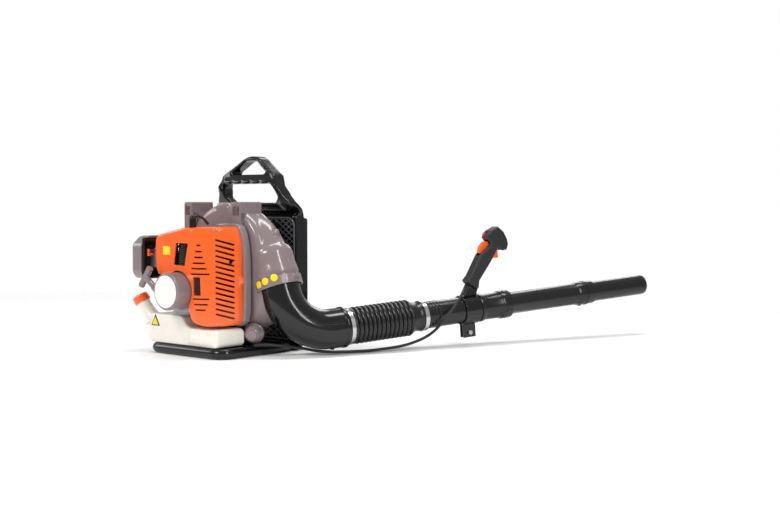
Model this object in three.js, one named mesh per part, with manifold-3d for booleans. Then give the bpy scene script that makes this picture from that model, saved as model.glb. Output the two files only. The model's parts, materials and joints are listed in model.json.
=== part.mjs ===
// Backpack leaf blower with a two-stroke engine, a scroll fan housing and a swinging blow tube.
// Millimetres. Origin: middle of the base's underside. +X is the outlet side, +Y is the
// wearer's side, +Z is up. The crank and fan axis runs along Y.
import * as THREE from 'three';
import { mergeVertices } from 'three/addons/utils/BufferGeometryUtils.js';
import Module from 'manifold-3d';

const wasm = await Module();
wasm.setup();

const group = new THREE.Group();
const rad = THREE.MathUtils.degToRad;

// Clearances
const gap = 0.3;
const slide = 0.5;
const roundSides = 20;

// Base and back frame
const baseWidth = 300;
const baseFront = -150;
const baseHeight = 28;
const baseCorner = 40;
const intakeSpace = 54;
const plateThickness = 16;
const frameHalfWidth = baseWidth / 2 + 2;
const shoulderHeight = 385;
const handleRise = 144;
const rimDepth = 16;
const rimWidth = 20;

// Fan and scroll housing
const fanRadius = 118;
const fanClearance = 8;
const fanWall = fanRadius + fanClearance;
const axisHeight = baseHeight + fanWall + 18;
const outletRadius = 57;
const housingMiddle = 25;
const housingWall = 3;
const intakeRadius = 92;
const outletLean = 20;

// Engine
const engineMiddle = -112;
const shaftRadius = 9;
const crankcaseWidth = 90;
const crankcaseTop = axisHeight + 53;
const crankcaseLow = axisHeight - 57;
const cylinderWidth = 84;
const cylinderTop = crankcaseTop + 100;

// Recoil starter
const starterFace = -204;
const starterDepth = 50;
const ropeRadius = 1.75;
const ropeAngle = Math.atan2(0.6, -0.8);
const reelRadius = 37.5;
const starterRadius = reelRadius + 11.5;
const badgeRadius = starterRadius - 7;

// Engine cover
const coverFront = -160;
const coverBack = -45;
const coverTop = cylinderTop + 20;
const coverWall = 3;

// Tank
const tankLeft = -baseWidth / 2;
const tankRight = baseWidth / 2 - 22;
const tankTop = crankcaseLow - 9;
const tankWall = 2.5;
const capRadius = 22;
const capHeight = 20;

// Blow tube, along its own axis
const elbowRadius = outletRadius - 4;
const elbowWall = 3;
const elbowBend = 115;
const elbowStart = 28;
const elbowEnd = 41;
const tubeHeading = 22;
const tubeRise = 4.53;
const spigotRadius = elbowRadius - 9;
const spigotLength = 22;
const hoseLength = 246;
const hoseRadius = spigotRadius + 6;
const hoseWall = 2.5;
const controlRadius = 36.5;
const controlStart = hoseLength - 40;
const controlEnd = hoseLength + 274;
const controlWall = 2.5;
const middleRadius = controlRadius - 5.5;
const middleEnd = controlEnd + 298;
const middleWall = 2.5;
const nozzleRadius = middleRadius - 2;
const nozzleLength = 194;
const tubeLength = middleEnd + nozzleLength;
const bayonetDepth = 34;
const clampStart = hoseLength + 116;
const clampWidth = 50;

// Control handle, along its own grip
const handleStation = clampStart + 40;
const handleLean = 31.6;
const gripLength = 131;
const handleWidth = 34;
const handleWall = 3;

const cableRadius = 4;

const finish = (color, roughness = 0.5, metalness = 0) =>
  new THREE.MeshStandardMaterial({ color, roughness, metalness });
const blackPlastic = finish('#17171a', 0.42);
const softBlack = finish('#1d1d20', 0.75);
const greyPlastic = finish('#978a8a', 0.38);
const orangePlastic = finish('#f1591f', 0.3);
const redPlastic = finish('#c3261c', 0.4);
const whitePlastic = finish('#ebe6df', 0.45);
const castAluminium = finish('#8b8d90', 0.55, 0.9);
const steel = finish('#a9abae', 0.35, 1);
const foamBlack = finish('#232325', 0.95);
const webbing = finish('#26262a', 0.9);

// ---- Solids -------------------------------------------------------------------------------

// A closed three.js geometry as a solid that can be cut and joined.
function solid(geometry) {
  const bare = geometry.clone();
  bare.deleteAttribute('normal');
  bare.deleteAttribute('uv');
  const merged = mergeVertices(bare, 1e-3);
  const corners = merged.index.array;
  const kept = [];
  for (let i = 0; i < corners.length; i += 3) {
    const [a, b, c] = corners.slice(i, i + 3);
    if (a !== b && b !== c && c !== a) kept.push(a, b, c);
  }
  return new wasm.Manifold(new wasm.Mesh({
    numProp: 3,
    vertProperties: new Float32Array(merged.attributes.position.array),
    triVerts: new Uint32Array(kept),
  }));
}

const move = (body, x, y, z) => body.translate([x, y, z]);
const joined = (...bodies) => bodies.reduce((all, body) => all.add(body));

// A solid as one named mesh in a parent group.
function part(name, body, material, parent = group) {
  const mesh = body.getMesh();
  const geometry = new THREE.BufferGeometry();
  geometry.setAttribute('position', new THREE.BufferAttribute(new Float32Array(mesh.vertProperties), 3));
  geometry.setIndex([...mesh.triVerts]);
  geometry.computeVertexNormals();
  const piece = new THREE.Mesh(geometry, material);
  piece.name = name;
  parent.add(piece);
  return piece;
}

function block(x0, x1, y0, y1, z0, z1) {
  const box = new THREE.BoxGeometry(x1 - x0, y1 - y0, z1 - z0);
  return move(solid(box), (x0 + x1) / 2, (y0 + y1) / 2, (z0 + z1) / 2);
}

function extruded(shape, depth, bevel, steps) {
  return new THREE.ExtrudeGeometry(shape, {
    depth: depth - 2 * bevel,
    bevelEnabled: bevel > 0,
    bevelThickness: bevel,
    bevelSize: bevel,
    bevelOffset: -bevel,
    bevelSegments: steps,
    curveSegments: 4,
  }).translate(0, 0, bevel);
}

// An XY outline carried up from z0 to z1.
function upright(shape, z0, z1, bevel = 0, steps = 2) {
  return move(solid(extruded(shape, z1 - z0, bevel, steps)), 0, 0, z0);
}

// An XZ outline carried from the front face y0 back to y1.
function slab(shape, y0, y1, bevel = 0, steps = 2) {
  return move(solid(extruded(shape, y1 - y0, bevel, steps).rotateX(Math.PI / 2)), 0, y1, 0);
}

// A YZ outline carried from x0 to x1.
function sideways(shape, x0, x1, bevel = 0, steps = 2) {
  const turn = new THREE.Matrix4().makeBasis(
    new THREE.Vector3(0, 1, 0), new THREE.Vector3(0, 0, 1), new THREE.Vector3(1, 0, 0));
  return move(solid(extruded(shape, x1 - x0, bevel, steps).applyMatrix4(turn)), x0, 0, 0);
}

function outline(points) {
  return new THREE.Shape(points.map(([x, y]) => new THREE.Vector2(x, y)));
}

// A rectangle with round corners, between two opposite corners.
function roundedRectangle(x0, y0, x1, y1, r) {
  const shape = new THREE.Shape();
  shape.moveTo(x0 + r, y0);
  shape.lineTo(x1 - r, y0);
  shape.absarc(x1 - r, y0 + r, r, -Math.PI / 2, 0);
  shape.lineTo(x1, y1 - r);
  shape.absarc(x1 - r, y1 - r, r, 0, Math.PI / 2);
  shape.lineTo(x0 + r, y1);
  shape.absarc(x0 + r, y1 - r, r, Math.PI / 2, Math.PI);
  shape.lineTo(x0, y0 + r);
  shape.absarc(x0 + r, y0 + r, r, Math.PI, 1.5 * Math.PI);
  return shape;
}

// A [radius, y] profile turned round the Y axis.
function turned(profile, sides = roundSides) {
  const points = profile.map(([r, y]) => new THREE.Vector2(r, y));
  if (THREE.ShapeUtils.area(points) < 0) points.reverse();
  return solid(new THREE.LatheGeometry(points, sides));
}

// A ring or pipe round the Y axis from y0 to y1.
function ring(inner, outer, y0, y1, sides = roundSides) {
  return turned([[inner, y0], [outer, y0], [outer, y1], [inner, y1], [inner, y0]], sides);
}

function disc(radius, y0, y1, sides = roundSides) {
  return turned([[0, y0], [radius, y0], [radius, y1], [0, y1]], sides);
}

// The turn that lays the Y axis along a direction.
function along(direction) {
  return new THREE.Quaternion().setFromUnitVectors(new THREE.Vector3(0, 1, 0), direction.clone().normalize());
}

// A body made along Y, set at a point and laid along a direction.
function placed(body, at, direction) {
  const matrix = new THREE.Matrix4().compose(at, along(direction), new THREE.Vector3(1, 1, 1));
  return body.transform(matrix.elements);
}

// A round rod between two points.
function rod(radius, from, to, sides = 12) {
  const way = to.clone().sub(from);
  return placed(disc(radius, 0, way.length(), sides), from, way);
}

// A round section carried along a curve.
function sweep(curve, radius, steps, sides) {
  const section = new THREE.Shape();
  for (let i = 0; i < sides; i++) {
    const angle = (2 * Math.PI * i) / sides;
    const corner = [radius * Math.cos(angle), radius * Math.sin(angle)];
    if (i === 0) section.moveTo(...corner);
    else section.lineTo(...corner);
  }
  return solid(new THREE.ExtrudeGeometry(section, { steps, extrudePath: curve, bevelEnabled: false }));
}

// A flat strap, as a cross section carried along a path in the YZ plane.
function strap(path, x, width, thickness) {
  const inner = path.map(([y, z]) => new THREE.Vector2(y, z));
  const outer = inner.map((point, i) => {
    const before = inner[Math.max(i - 1, 0)];
    const after = inner[Math.min(i + 1, inner.length - 1)];
    const way = after.clone().sub(before).normalize();
    return point.clone().add(new THREE.Vector2(-way.y, way.x).multiplyScalar(thickness));
  });
  return sideways(new THREE.Shape([...inner, ...outer.reverse()]), x - width / 2, x + width / 2);
}

const point = (x, y, z) => new THREE.Vector3(x, y, z);

// The radius of a faceted bore that clears a faceted rod of the given radius.
const socket = (radius, sides = roundSides) => (radius + gap) / Math.cos(Math.PI / sides);

// A closed outline drawn inwards by a wall, each corner along its bisector.
function drawnIn(points, wall) {
  const corners = points.map(([x, y]) => new THREE.Vector2(x, y));
  return corners.map((corner, i) => {
    const before = corner.clone().sub(corners.at(i - 1)).normalize();
    const after = corners[(i + 1) % corners.length].clone().sub(corner).normalize();
    const inwards = new THREE.Vector2(-before.y - after.y, before.x + after.x).normalize();
    const stretch = Math.max(inwards.dot(new THREE.Vector2(-before.y, before.x)), 0.5);
    return corner.clone().addScaledVector(inwards, wall / stretch).toArray();
  });
}

// ---- Base and back frame ------------------------------------------------------------------

const plateFront = housingMiddle + outletRadius + intakeSpace;
const plateBack = plateFront + plateThickness;
const rimFront = plateFront - rimDepth;

function makeBase() {
  const half = baseWidth / 2;
  const tray = upright(roundedRectangle(-half, baseFront, half, rimFront - gap, baseCorner), 0, baseHeight, 10, 2);
  part('base_tray', tray, blackPlastic);
}

// The handle leans: it swells forward over the plate and falls back to the apex.
const handleHeight = shoulderHeight + handleRise;
const handleNeck = shoulderHeight + 15;
const gripBottom = shoulderHeight + 70;
const gripTop = gripBottom + 23;
const windowTop = handleHeight - 13;
const handleFront = rimFront - 44;
const handleDepth = 44;

function leanOfHandle(x, y, z) {
  const front = y < 0.5;
  const rise = THREE.MathUtils.clamp((z - handleNeck) / (gripBottom - handleNeck), 0, 1);
  const fall = THREE.MathUtils.clamp((z - gripBottom) / (windowTop - gripBottom), 0, 1.3);
  const flat = front ? rimFront + 2 : plateBack;
  const swollen = front ? handleFront : handleFront + handleDepth;
  return flat + (swollen - flat) * rise + 19 * fall;
}

// Half of the frame's outer edge, from the foot up to the apex.
function frameEdge() {
  const w = frameHalfWidth;
  const s = shoulderHeight;
  return [[w - 24, 0], [w - 7, 7], [w, 24], [w, s - 18], [w - 5, s - 4], [w - 22, s + 14],
    [w - 38, s + 38], [w - 49, gripBottom - 8], [w - 60, gripTop - 2], [w - 122, windowTop + 5],
    [w - 136, handleHeight - 2], [0, handleHeight]];
}

const mirrored = (half) => [...half, ...half.filter(([x]) => x > 0).reverse().map(([x, z]) => [-x, z])];

function handleHoles() {
  const low = shoulderHeight + 16;
  const side = frameHalfWidth - 60;
  const fingers = 5;
  const grip = [[-side + 16, low], [side - 16, low], [side, low + 16], [side - 4, gripBottom - 12]];
  const pitch = (2 * side - 24) / fingers;
  for (let i = 0; i < fingers; i++) {
    const x = side - 12 - i * pitch;
    grip.push([x, gripBottom + 3], [x - pitch * 0.28, gripBottom - 3], [x - pitch * 0.72, gripBottom - 3]);
  }
  grip.push([-side + 12, gripBottom + 3], [-side + 4, gripBottom - 12], [-side, low + 16]);
  const wide = frameHalfWidth - 90;
  const narrow = frameHalfWidth - 128;
  const window = [[-wide, gripTop + 5], [6 - wide, gripTop], [wide - 6, gripTop], [wide, gripTop + 5],
    [narrow, windowTop - 3], [narrow - 6, windowTop], [6 - narrow, windowTop], [-narrow, windowTop - 3]];
  return [grip, window].map((points) => new THREE.Path(points.map(([x, z]) => new THREE.Vector2(x, z))));
}

function makeBackFrame() {
  const plate = slab(outline(mirrored(frameEdge().filter(([, z]) => z <= handleNeck))), plateFront, plateBack);
  const top = outline(mirrored([[frameHalfWidth - 25, shoulderHeight - 8],
    ...frameEdge().filter(([, z]) => z > handleNeck - 2)]));
  top.holes = handleHoles();
  const leaning = slab(top, 0, 1).warp((vertex) => {
    vertex[1] = leanOfHandle(...vertex);
  });
  let frame = plate.add(leaning);
  for (const side of [-1, 1]) {
    const outer = side * (frameHalfWidth - 0.5);
    const inner = outer - side * rimWidth;
    const rim = block(Math.min(outer, inner), Math.max(outer, inner), rimFront, plateFront + 1, 24, shoulderHeight - 18);
    frame = frame.add(rim);
  }
  part('back_frame', frame, blackPlastic);
}

// ---- Harness on the wearer's side ---------------------------------------------------------

const padThickness = 22;
const padBack = plateBack + gap + padThickness;

function makeHarness() {
  const pad = slab(roundedRectangle(-82, shoulderHeight - 290, 82, shoulderHeight - 34, 26), plateBack + gap, padBack, 6, 1);
  part('back_pad', pad, foamBlack);
  const top = shoulderHeight - 16;
  const path = [[plateBack + gap, top], [plateBack + 12, top + 8], [plateBack + 30, top - 4], [plateBack + 37, top - 40],
    [plateBack + 38, top - 99], [plateBack + 34, top - 169], [plateBack + 30, top - 201]];
  const lower = [[plateBack + 29, top - 235], [plateBack + 24, top - 274], [plateBack + 8, top - 309],
    [plateBack + gap, top - 319]];
  for (const [side, name] of [[-1, 'left'], [1, 'right']]) {
    const x = side * 58;
    part(`shoulder_pad_${name}`, strap(path, x, 54, -7), foamBlack);
    const buckle = block(x - 16, x + 16, plateBack + 27, plateBack + 36, top - 235 + gap, top - 201 - gap);
    part(`strap_adjuster_${name}`, buckle, blackPlastic);
    part(`lower_webbing_${name}`, strap(lower, x, 25, 3), webbing);
  }
}

// ---- Fan housing --------------------------------------------------------------------------

// The scroll's section grows steadily with the sweep from the tongue to the outlet.
const sweepToOutlet = 300;
const tongueAngle = -60;
const sectionRadius = (swept) => (outletRadius * swept) / sweepToOutlet;
const housingFront = housingMiddle - outletRadius;
const housingBack = housingMiddle + outletRadius;
const outletMiddle = point(fanWall + outletRadius - 3, housingMiddle, axisHeight + 16);
const outletWay = point(Math.sin(rad(outletLean)), 0, -Math.cos(rad(outletLean)));

function scrollOutline(inset) {
  const points = [];
  const turn = (radius, angle) => [radius * Math.cos(rad(angle)), axisHeight + radius * Math.sin(rad(angle))];
  for (let swept = 8; swept <= 292; swept += 15) {
    points.push(turn(fanWall + 2 * sectionRadius(swept) - inset, tongueAngle - swept));
  }
  const across = point(-outletWay.z, 0, outletWay.x);
  const mouth = outletMiddle.clone().addScaledVector(outletWay, -14 - inset);
  for (const side of [1, -1]) {
    const corner = mouth.clone().addScaledVector(across, side * outletRadius - inset);
    points.push([corner.x, corner.z]);
  }
  for (let angle = -14; angle >= tongueAngle; angle -= 12) points.push(turn(fanWall + 2 - inset, angle));
  return outline(points.reverse());
}

function scrollBody(inset) {
  const round = 14 - inset;
  return slab(scrollOutline(inset), housingFront + inset, housingBack - inset, round, 2);
}

const outletPipe = (radius, from, to) => placed(disc(radius, from, to), outletMiddle, outletWay);

// The space that the housing takes, for what stands round it.
const housingSpace = () => scrollBody(-2 * slide);

function makeFanHousing() {
  const crank = point(0, 0, axisHeight);
  const back = point(0, 1, 0);
  const outer = scrollBody(0).add(outletPipe(outletRadius, -60, -2));
  const bore = outletPipe(outletRadius - housingWall, -70, 4).intersect(block(60, 400, -200, 300, 0, 400));
  const hollow = scrollBody(housingWall).add(bore);
  const intake = placed(disc(intakeRadius, housingMiddle, housingBack + 10, 24), crank, back);
  const shaftHole = placed(disc(shaftRadius + 3, housingFront - 10, housingMiddle, 16), crank, back);
  const whole = outer.subtract(hollow).subtract(intake).subtract(shaftHole);
  const far = 600;
  part('fan_housing_front', whole.intersect(block(-far, far, -far, housingMiddle - gap / 2, -far, far)), greyPlastic);
  part('fan_housing_rear', whole.intersect(block(-far, far, housingMiddle + gap / 2, far, -far, far)), greyPlastic);

  const grilleEdge = frameHalfWidth - 3;
  const grille = slab(roundedRectangle(-grilleEdge, baseHeight + gap, grilleEdge, shoulderHeight - 24, 20),
    rimFront - gap - 7, rimFront - gap);
  let guard = grille.subtract(placed(disc(intakeRadius + 8, 0, far, 24), crank, back));
  const slots = 14;
  for (let i = 0; i < slots; i++) {
    const angle = (i + 0.5) * (360 / slots);
    const cut = block(intakeRadius + 18, intakeRadius + 46, 0, far, -15, 15).rotate([0, angle, 0]);
    guard = guard.subtract(move(cut, 0, 0, axisHeight));
  }
  const bracketTop = coverTop + 58;
  for (const [side, name] of [[-98, 'left'], [93, 'right']]) {
    const tower = slab(roundedRectangle(side - 15, coverTop - 45, side + 15, bracketTop, 3), coverBack, coverBack + 78);
    const slots = [-7, 0, 7].map((x) => block(side + x - 1.5, side + x + 1.5, coverBack - 1, coverBack + 60, bracketTop - 28,
      bracketTop - 8));
    part(`bracket_${name}`, tower.subtract(housingSpace()).subtract(joined(...slots)), greyPlastic);
  }
  const foot = upright(roundedRectangle(100, -36, 146, 26, 16), baseHeight + gap, baseHeight + 64, 6, 1);
  part('housing_foot', foot.subtract(housingSpace()), greyPlastic);
  for (const [x, name] of [[-100, 'left'], [84, 'right']]) {
    const at = point(x, 0, shoulderHeight - 45);
    const rubber = placed(disc(12, housingBack - 20, plateFront - gap, 12), at, back).subtract(housingSpace());
    part(`mount_rubber_${name}`, rubber, softBlack);
    guard = guard.subtract(placed(disc(13, 0, far, 12), at, back));
  }
  part('intake_guard', guard, blackPlastic);
}

function makeFan() {
  const blades = 10;
  const boreRadius = shaftRadius + gap;
  let fan = joined(ring(boreRadius, 20, -18, 30), ring(19, fanRadius, -18, -15, 24));
  for (let i = 0; i < blades; i++) {
    const blade = block(-1.5, 1.5, -16, 32, 24, fanRadius - 1);
    const tilted = move(move(blade, 0, 0, -70).rotate([0, 28, 0]), 0, 0, 70);
    fan = fan.add(tilted.rotate([0, (360 / blades) * i, 0]));
  }
  const keptRound = disc(fanRadius, -30, 60, 24).subtract(disc(boreRadius, -40, 70, 24));
  part('fan_impeller', move(fan.intersect(keptRound), 0, 0, axisHeight), blackPlastic);
}

// ---- Engine -------------------------------------------------------------------------------

const crankcaseBack = housingFront - gap;
const crankcaseFront = starterFace + starterDepth + gap;
const webRadius = 29;
const chamberHalf = 20;

function makeEngine() {
  const half = crankcaseWidth / 2;
  const crank = point(0, 0, axisHeight);
  const back = point(0, 1, 0);
  const casing = slab(roundedRectangle(-half, crankcaseLow, half, crankcaseTop, 22), crankcaseFront, crankcaseBack);
  const chamber = placed(disc(webRadius + 4, engineMiddle - chamberHalf, engineMiddle + chamberHalf), crank, back);
  const passage = placed(disc(shaftRadius + slide, crankcaseFront - 5, crankcaseBack + 5), crank, back);
  const mouth = placed(disc(20, axisHeight, crankcaseTop + 5), point(0, engineMiddle, 0), point(0, 0, 1));
  part('crankcase', casing.subtract(chamber).subtract(passage).subtract(mouth), castAluminium);

  const throwRadius = 14;
  const webs = [-1, 1].map((side) => disc(webRadius, engineMiddle + side * 12 - 4, engineMiddle + side * 12 + 4));
  const pin = move(disc(6, engineMiddle - 10, engineMiddle + 10, 12), 0, 0, throwRadius);
  const shaft = joined(disc(shaftRadius, starterFace + 8, engineMiddle - 10, 16),
    disc(shaftRadius, engineMiddle + 10, 34, 16), pin, ...webs);
  part('crankshaft', move(shaft, 0, 0, axisHeight), steel);

  const fins = 8;
  const low = crankcaseTop + gap;
  const pitch = (cylinderTop - low) / fins;
  const wide = cylinderWidth / 2;
  let cylinder = block(-26, 26, engineMiddle - 26, engineMiddle + 26, low, cylinderTop);
  for (let i = 0; i < fins; i++) {
    const z = low + i * pitch;
    cylinder = cylinder.add(block(-wide, wide, engineMiddle - 33, engineMiddle + 33, z + (i ? pitch - 3 : 0), z + pitch));
  }
  const bore = placed(disc(20, low - 5, cylinderTop - 25), point(0, engineMiddle, 0), point(0, 0, 1));
  const plugHole = placed(disc(7 + slide, low, cylinderTop + 5, 12), point(0, engineMiddle, 0), point(0, 0, 1));
  part('cylinder', cylinder.subtract(bore).subtract(plugHole), castAluminium);

  const plugAt = point(0, engineMiddle, 0);
  const up = point(0, 0, 1);
  const plug = turned([[0, cylinderTop - 22], [7, cylinderTop - 22], [7, cylinderTop + gap], [11, cylinderTop + gap],
    [11, cylinderTop + 9], [5, cylinderTop + 9], [5, cylinderTop + 22], [0, cylinderTop + 22]], 12);
  part('spark_plug', placed(plug, plugAt, up), steel);
  const bootTop = coverTop + 22;
  const boot = turned([[5 + slide, cylinderTop + 10], [9, cylinderTop + 10], [10, bootTop - 4], [7, bootTop],
    [0, bootTop], [0, cylinderTop + 24], [5 + slide, cylinderTop + 24], [5 + slide, cylinderTop + 10]], 12);
  part('spark_plug_boot', placed(boot, plugAt, up), softBlack);

  const coil = slab(roundedRectangle(half + gap, axisHeight - 22, half + 22, axisHeight + 24, 4), crankcaseBack - 30, crankcaseBack - 2);
  part('ignition_coil', coil, blackPlastic);
  const mufflerFront = -122;
  const muffler = slab(roundedRectangle(half + gap, crankcaseTop - 21, half + 44, crankcaseTop + 61, 10), mufflerFront, mufflerFront + 66);
  part('muffler', muffler, castAluminium);
}

// ---- Intake side --------------------------------------------------------------------------

const filterPlane = -158;
const filterFront = -158;
const filterBack = -62;
const filterDepth = 42;
const carbHeight = crankcaseTop + 27;
const filterLow = carbHeight - 56;
const filterHigh = carbHeight + 60;
const carbRight = -105;
const filterPlate = 9;

function makeIntake() {
  const left = point(-1, 0, 0);
  const start = point(0, engineMiddle, carbHeight);
  const port = cylinderWidth / 2 + gap;
  const manifold = turned([[12, port], [21, port], [21, port + 6], [15, port + 9], [15, -carbRight - 8],
    [21, -carbRight - 6], [21, -carbRight - gap], [12, -carbRight - gap], [12, port]], 16);
  part('intake_manifold', placed(manifold, start, left), softBlack);

  const carbLeft = filterPlane + filterPlate + gap;
  const carb = block(carbLeft, carbRight, engineMiddle - 22, engineMiddle + 22, carbHeight - 24, carbHeight + 24);
  const throat = placed(disc(12, -carbRight - 5, -carbLeft + 5, 16), start, left);
  part('carburettor', carb.subtract(throat), castAluminium);

  const camX = (carbLeft + carbRight) / 2;
  const cam = joined(disc(11, 0, 5, 20), disc(4, 4, 9, 10), block(-3, 3, 0, 4, 4, 24));
  part('throttle_cam', placed(cam, point(camX, engineMiddle, carbHeight + 24 + gap), point(0, 0, 1)), steel);

  const plate = block(filterPlane + gap, filterPlane + filterPlate, filterFront + 3, filterBack - 3, filterLow + 4,
    filterHigh - 4);
  part('air_filter_base', plate.subtract(placed(disc(14, 100, 200, 16), start, left)), blackPlastic);

  const coverShape = (inset) => {
    const f = filterFront + inset;
    const b = filterBack - inset;
    return outline([[f + 12, filterLow + inset], [b - 10, filterLow + inset], [b, filterLow + 14], [b, filterHigh - 16],
      [b - 14, filterHigh - inset], [f + 26, filterHigh - inset], [f, filterHigh - 22], [f, filterLow + 14]]);
  };
  const farLeft = filterPlane - filterDepth;
  const shell = sideways(coverShape(0), farLeft, filterPlane)
    .subtract(sideways(coverShape(3), farLeft + 3, filterPlane + 5))
    .subtract(placed(disc(5, 100, 300, 12), start, left));
  part('air_filter_cover', shell, greyPlastic);
  const element = sideways(coverShape(9), farLeft + 8, filterPlane - 1)
    .subtract(placed(disc(14, 100, 300, 12), start, left));
  part('air_filter_element', element, foamBlack);
  const knob = turned([[0, -farLeft + gap - 8], [4, -farLeft + gap - 8], [4, -farLeft + gap], [14, -farLeft + gap],
    [13, -farLeft + 11], [0, -farLeft + 11]], 10);
  part('filter_cover_knob', placed(knob, start, left), blackPlastic);

  const chokeAt = point(carbLeft + 9, engineMiddle - 22 - gap, carbHeight + 10);
  const choke = joined(disc(4, -14, 0, 12), block(-3, 3, -14, -9, 0, 15));
  part('choke_lever', move(choke, chokeAt.x, chokeAt.y, chokeAt.z), orangePlastic);
}

// ---- Recoil starter -----------------------------------------------------------------------

const ropeWay = point(Math.cos(ropeAngle), 0, Math.sin(ropeAngle));
const ropeOffset = reelRadius + ropeRadius + gap;
const ropeFoot = point(-ropeWay.z * ropeOffset, starterFace + 24, axisHeight + ropeWay.x * ropeOffset);
const ropeAt = (distance) => ropeFoot.clone().addScaledVector(ropeWay, distance);
const handleStem = 68;
const handleBar = 108;

function makeStarter() {
  const crank = point(0, 0, axisHeight);
  const back = point(0, 1, 0);
  const rear = starterFace + starterDepth;
  const wall = 3;
  const cup = turned([[0, starterFace], [starterRadius - 3, starterFace], [starterRadius, starterFace + 3],
    [starterRadius, rear], [starterRadius - wall, rear], [starterRadius - wall, starterFace + wall],
    [0, starterFace + wall]], 32);
  const guide = rod(9, ropeAt(24), ropeAt(handleStem - gap), 14);
  const inside = placed(disc(starterRadius - wall, starterFace + wall, rear + 5, 32), crank, back);
  const hole = rod(ropeRadius + 2, ropeAt(0), ropeAt(handleStem + 5), 10);
  const housing = placed(cup, crank, back).add(guide.subtract(inside)).subtract(hole);
  part('starter_housing', housing, greyPlastic);

  const badge = turned([[0, -3], [badgeRadius - 2, -3], [badgeRadius, -1.5], [badgeRadius, -gap], [0, -gap]], 32);
  part('starter_badge', placed(badge, point(0, starterFace, axisHeight), back), whitePlastic);

  const reelFront = ropeFoot.y - 6;
  const reel = turned([[shaftRadius + slide, reelFront], [reelRadius, reelFront], [reelRadius, reelFront + 12],
    [26, reelFront + 12], [26, reelFront + 20], [shaftRadius + slide, reelFront + 20],
    [shaftRadius + slide, reelFront]], 24);
  part('starter_reel', placed(reel, crank, back), whitePlastic);

  part('starter_rope', rod(ropeRadius, ropeAt(4), ropeAt(handleStem + 4), 8), finish('#d8d2c6', 0.8));
  const cross = point(-ropeWay.z, 0, ropeWay.x);
  const grip = rod(9, ropeAt(handleBar).addScaledVector(cross, -31), ropeAt(handleBar).addScaledVector(cross, 31), 12);
  const stem = rod(8, ropeAt(handleStem), ropeAt(handleBar), 12);
  const ropeHole = rod(ropeRadius + gap, ropeAt(handleStem - 5), ropeAt(handleStem + 8), 10);
  part('starter_handle', grip.add(stem).subtract(ropeHole), greyPlastic);
}

// ---- Orange engine cover ------------------------------------------------------------------

function coverPlan(inset) {
  const f = coverFront + inset;
  const shape = new THREE.Shape();
  shape.moveTo(-122 + inset, coverBack + (inset ? 5 : 0));
  shape.lineTo(-122 + inset, f + 16);
  shape.quadraticCurveTo(-122 + inset, f, -104, f);
  shape.lineTo(34, f - 4);
  shape.quadraticCurveTo(112 - inset, f + 6, 130 - inset, coverBack + (inset ? 5 : 0));
  return shape;
}

function makeCover() {
  const low = tankTop - 26;
  const archEdge = 34;
  const leftLow = crankcaseTop - 10;
  const outer = upright(coverPlan(0), low, coverTop, 8, 2).intersect(block(-200, 200, -300, coverBack, 0, 600));
  const inner = upright(coverPlan(coverWall), low - 20, coverTop - coverWall);
  const arch = placed(disc(starterRadius + 6, coverFront - 30, coverBack + 10, 32), point(0, 0, axisHeight), point(0, 1, 0));
  const underLeft = block(-200, archEdge, -300, 0, low - 30, leftLow);
  const bootHole = placed(disc(16, coverTop - 20, coverTop + 5, 20), point(0, engineMiddle, 0), point(0, 0, 1));
  const intakeNotch = block(-200, -90, engineMiddle - 30, 0, leftLow - 20, carbHeight + 42);
  let cover = outer.subtract(inner).subtract(arch).subtract(underLeft).subtract(bootHole).subtract(intakeNotch);
  cover = cover.subtract(block(-62, -22, coverFront - 20, coverFront + 20, coverTop - 87, coverTop - 33));
  cover = cover.subtract(block(44, 66, coverFront - 20, coverFront + 28, axisHeight + 10, axisHeight + 60));
  for (let i = 0; i < 6; i++) {
    const z = coverTop - 39 - 13 * i;
    cover = cover.subtract(block(36 + 2 * (5 - i), 70 + 2 * i, coverFront - 20, coverFront + 40, z, z + 4));
  }
  for (let i = 0; i < 9; i++) {
    const z = low + 32 + 24 * i;
    cover = cover.subtract(block(98, 200, coverFront, coverBack - 32, z, z + 8));
  }
  part('engine_cover', cover, orangePlastic);
}

// ---- Fuel tank ----------------------------------------------------------------------------

function tankOutline(inset) {
  const low = baseHeight + gap + inset;
  const left = tankLeft + inset;
  const right = tankRight - inset;
  const top = tankTop - inset;
  const shelf = tankTop - 31 - inset;
  return outline([[left + 10, low], [right - 8, low], [right, low + 8], [right, shelf - 8], [right - 8, shelf],
    [18, shelf], [-12, top - 2], [-22, top], [left + 8, top], [left, top - 10], [left, low + 12]]);
}

const capMiddle = point(tankLeft - 30, -140, tankTop + 35);
const capWay = point(-0.5, -0.2, 0.84).normalize();

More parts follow.
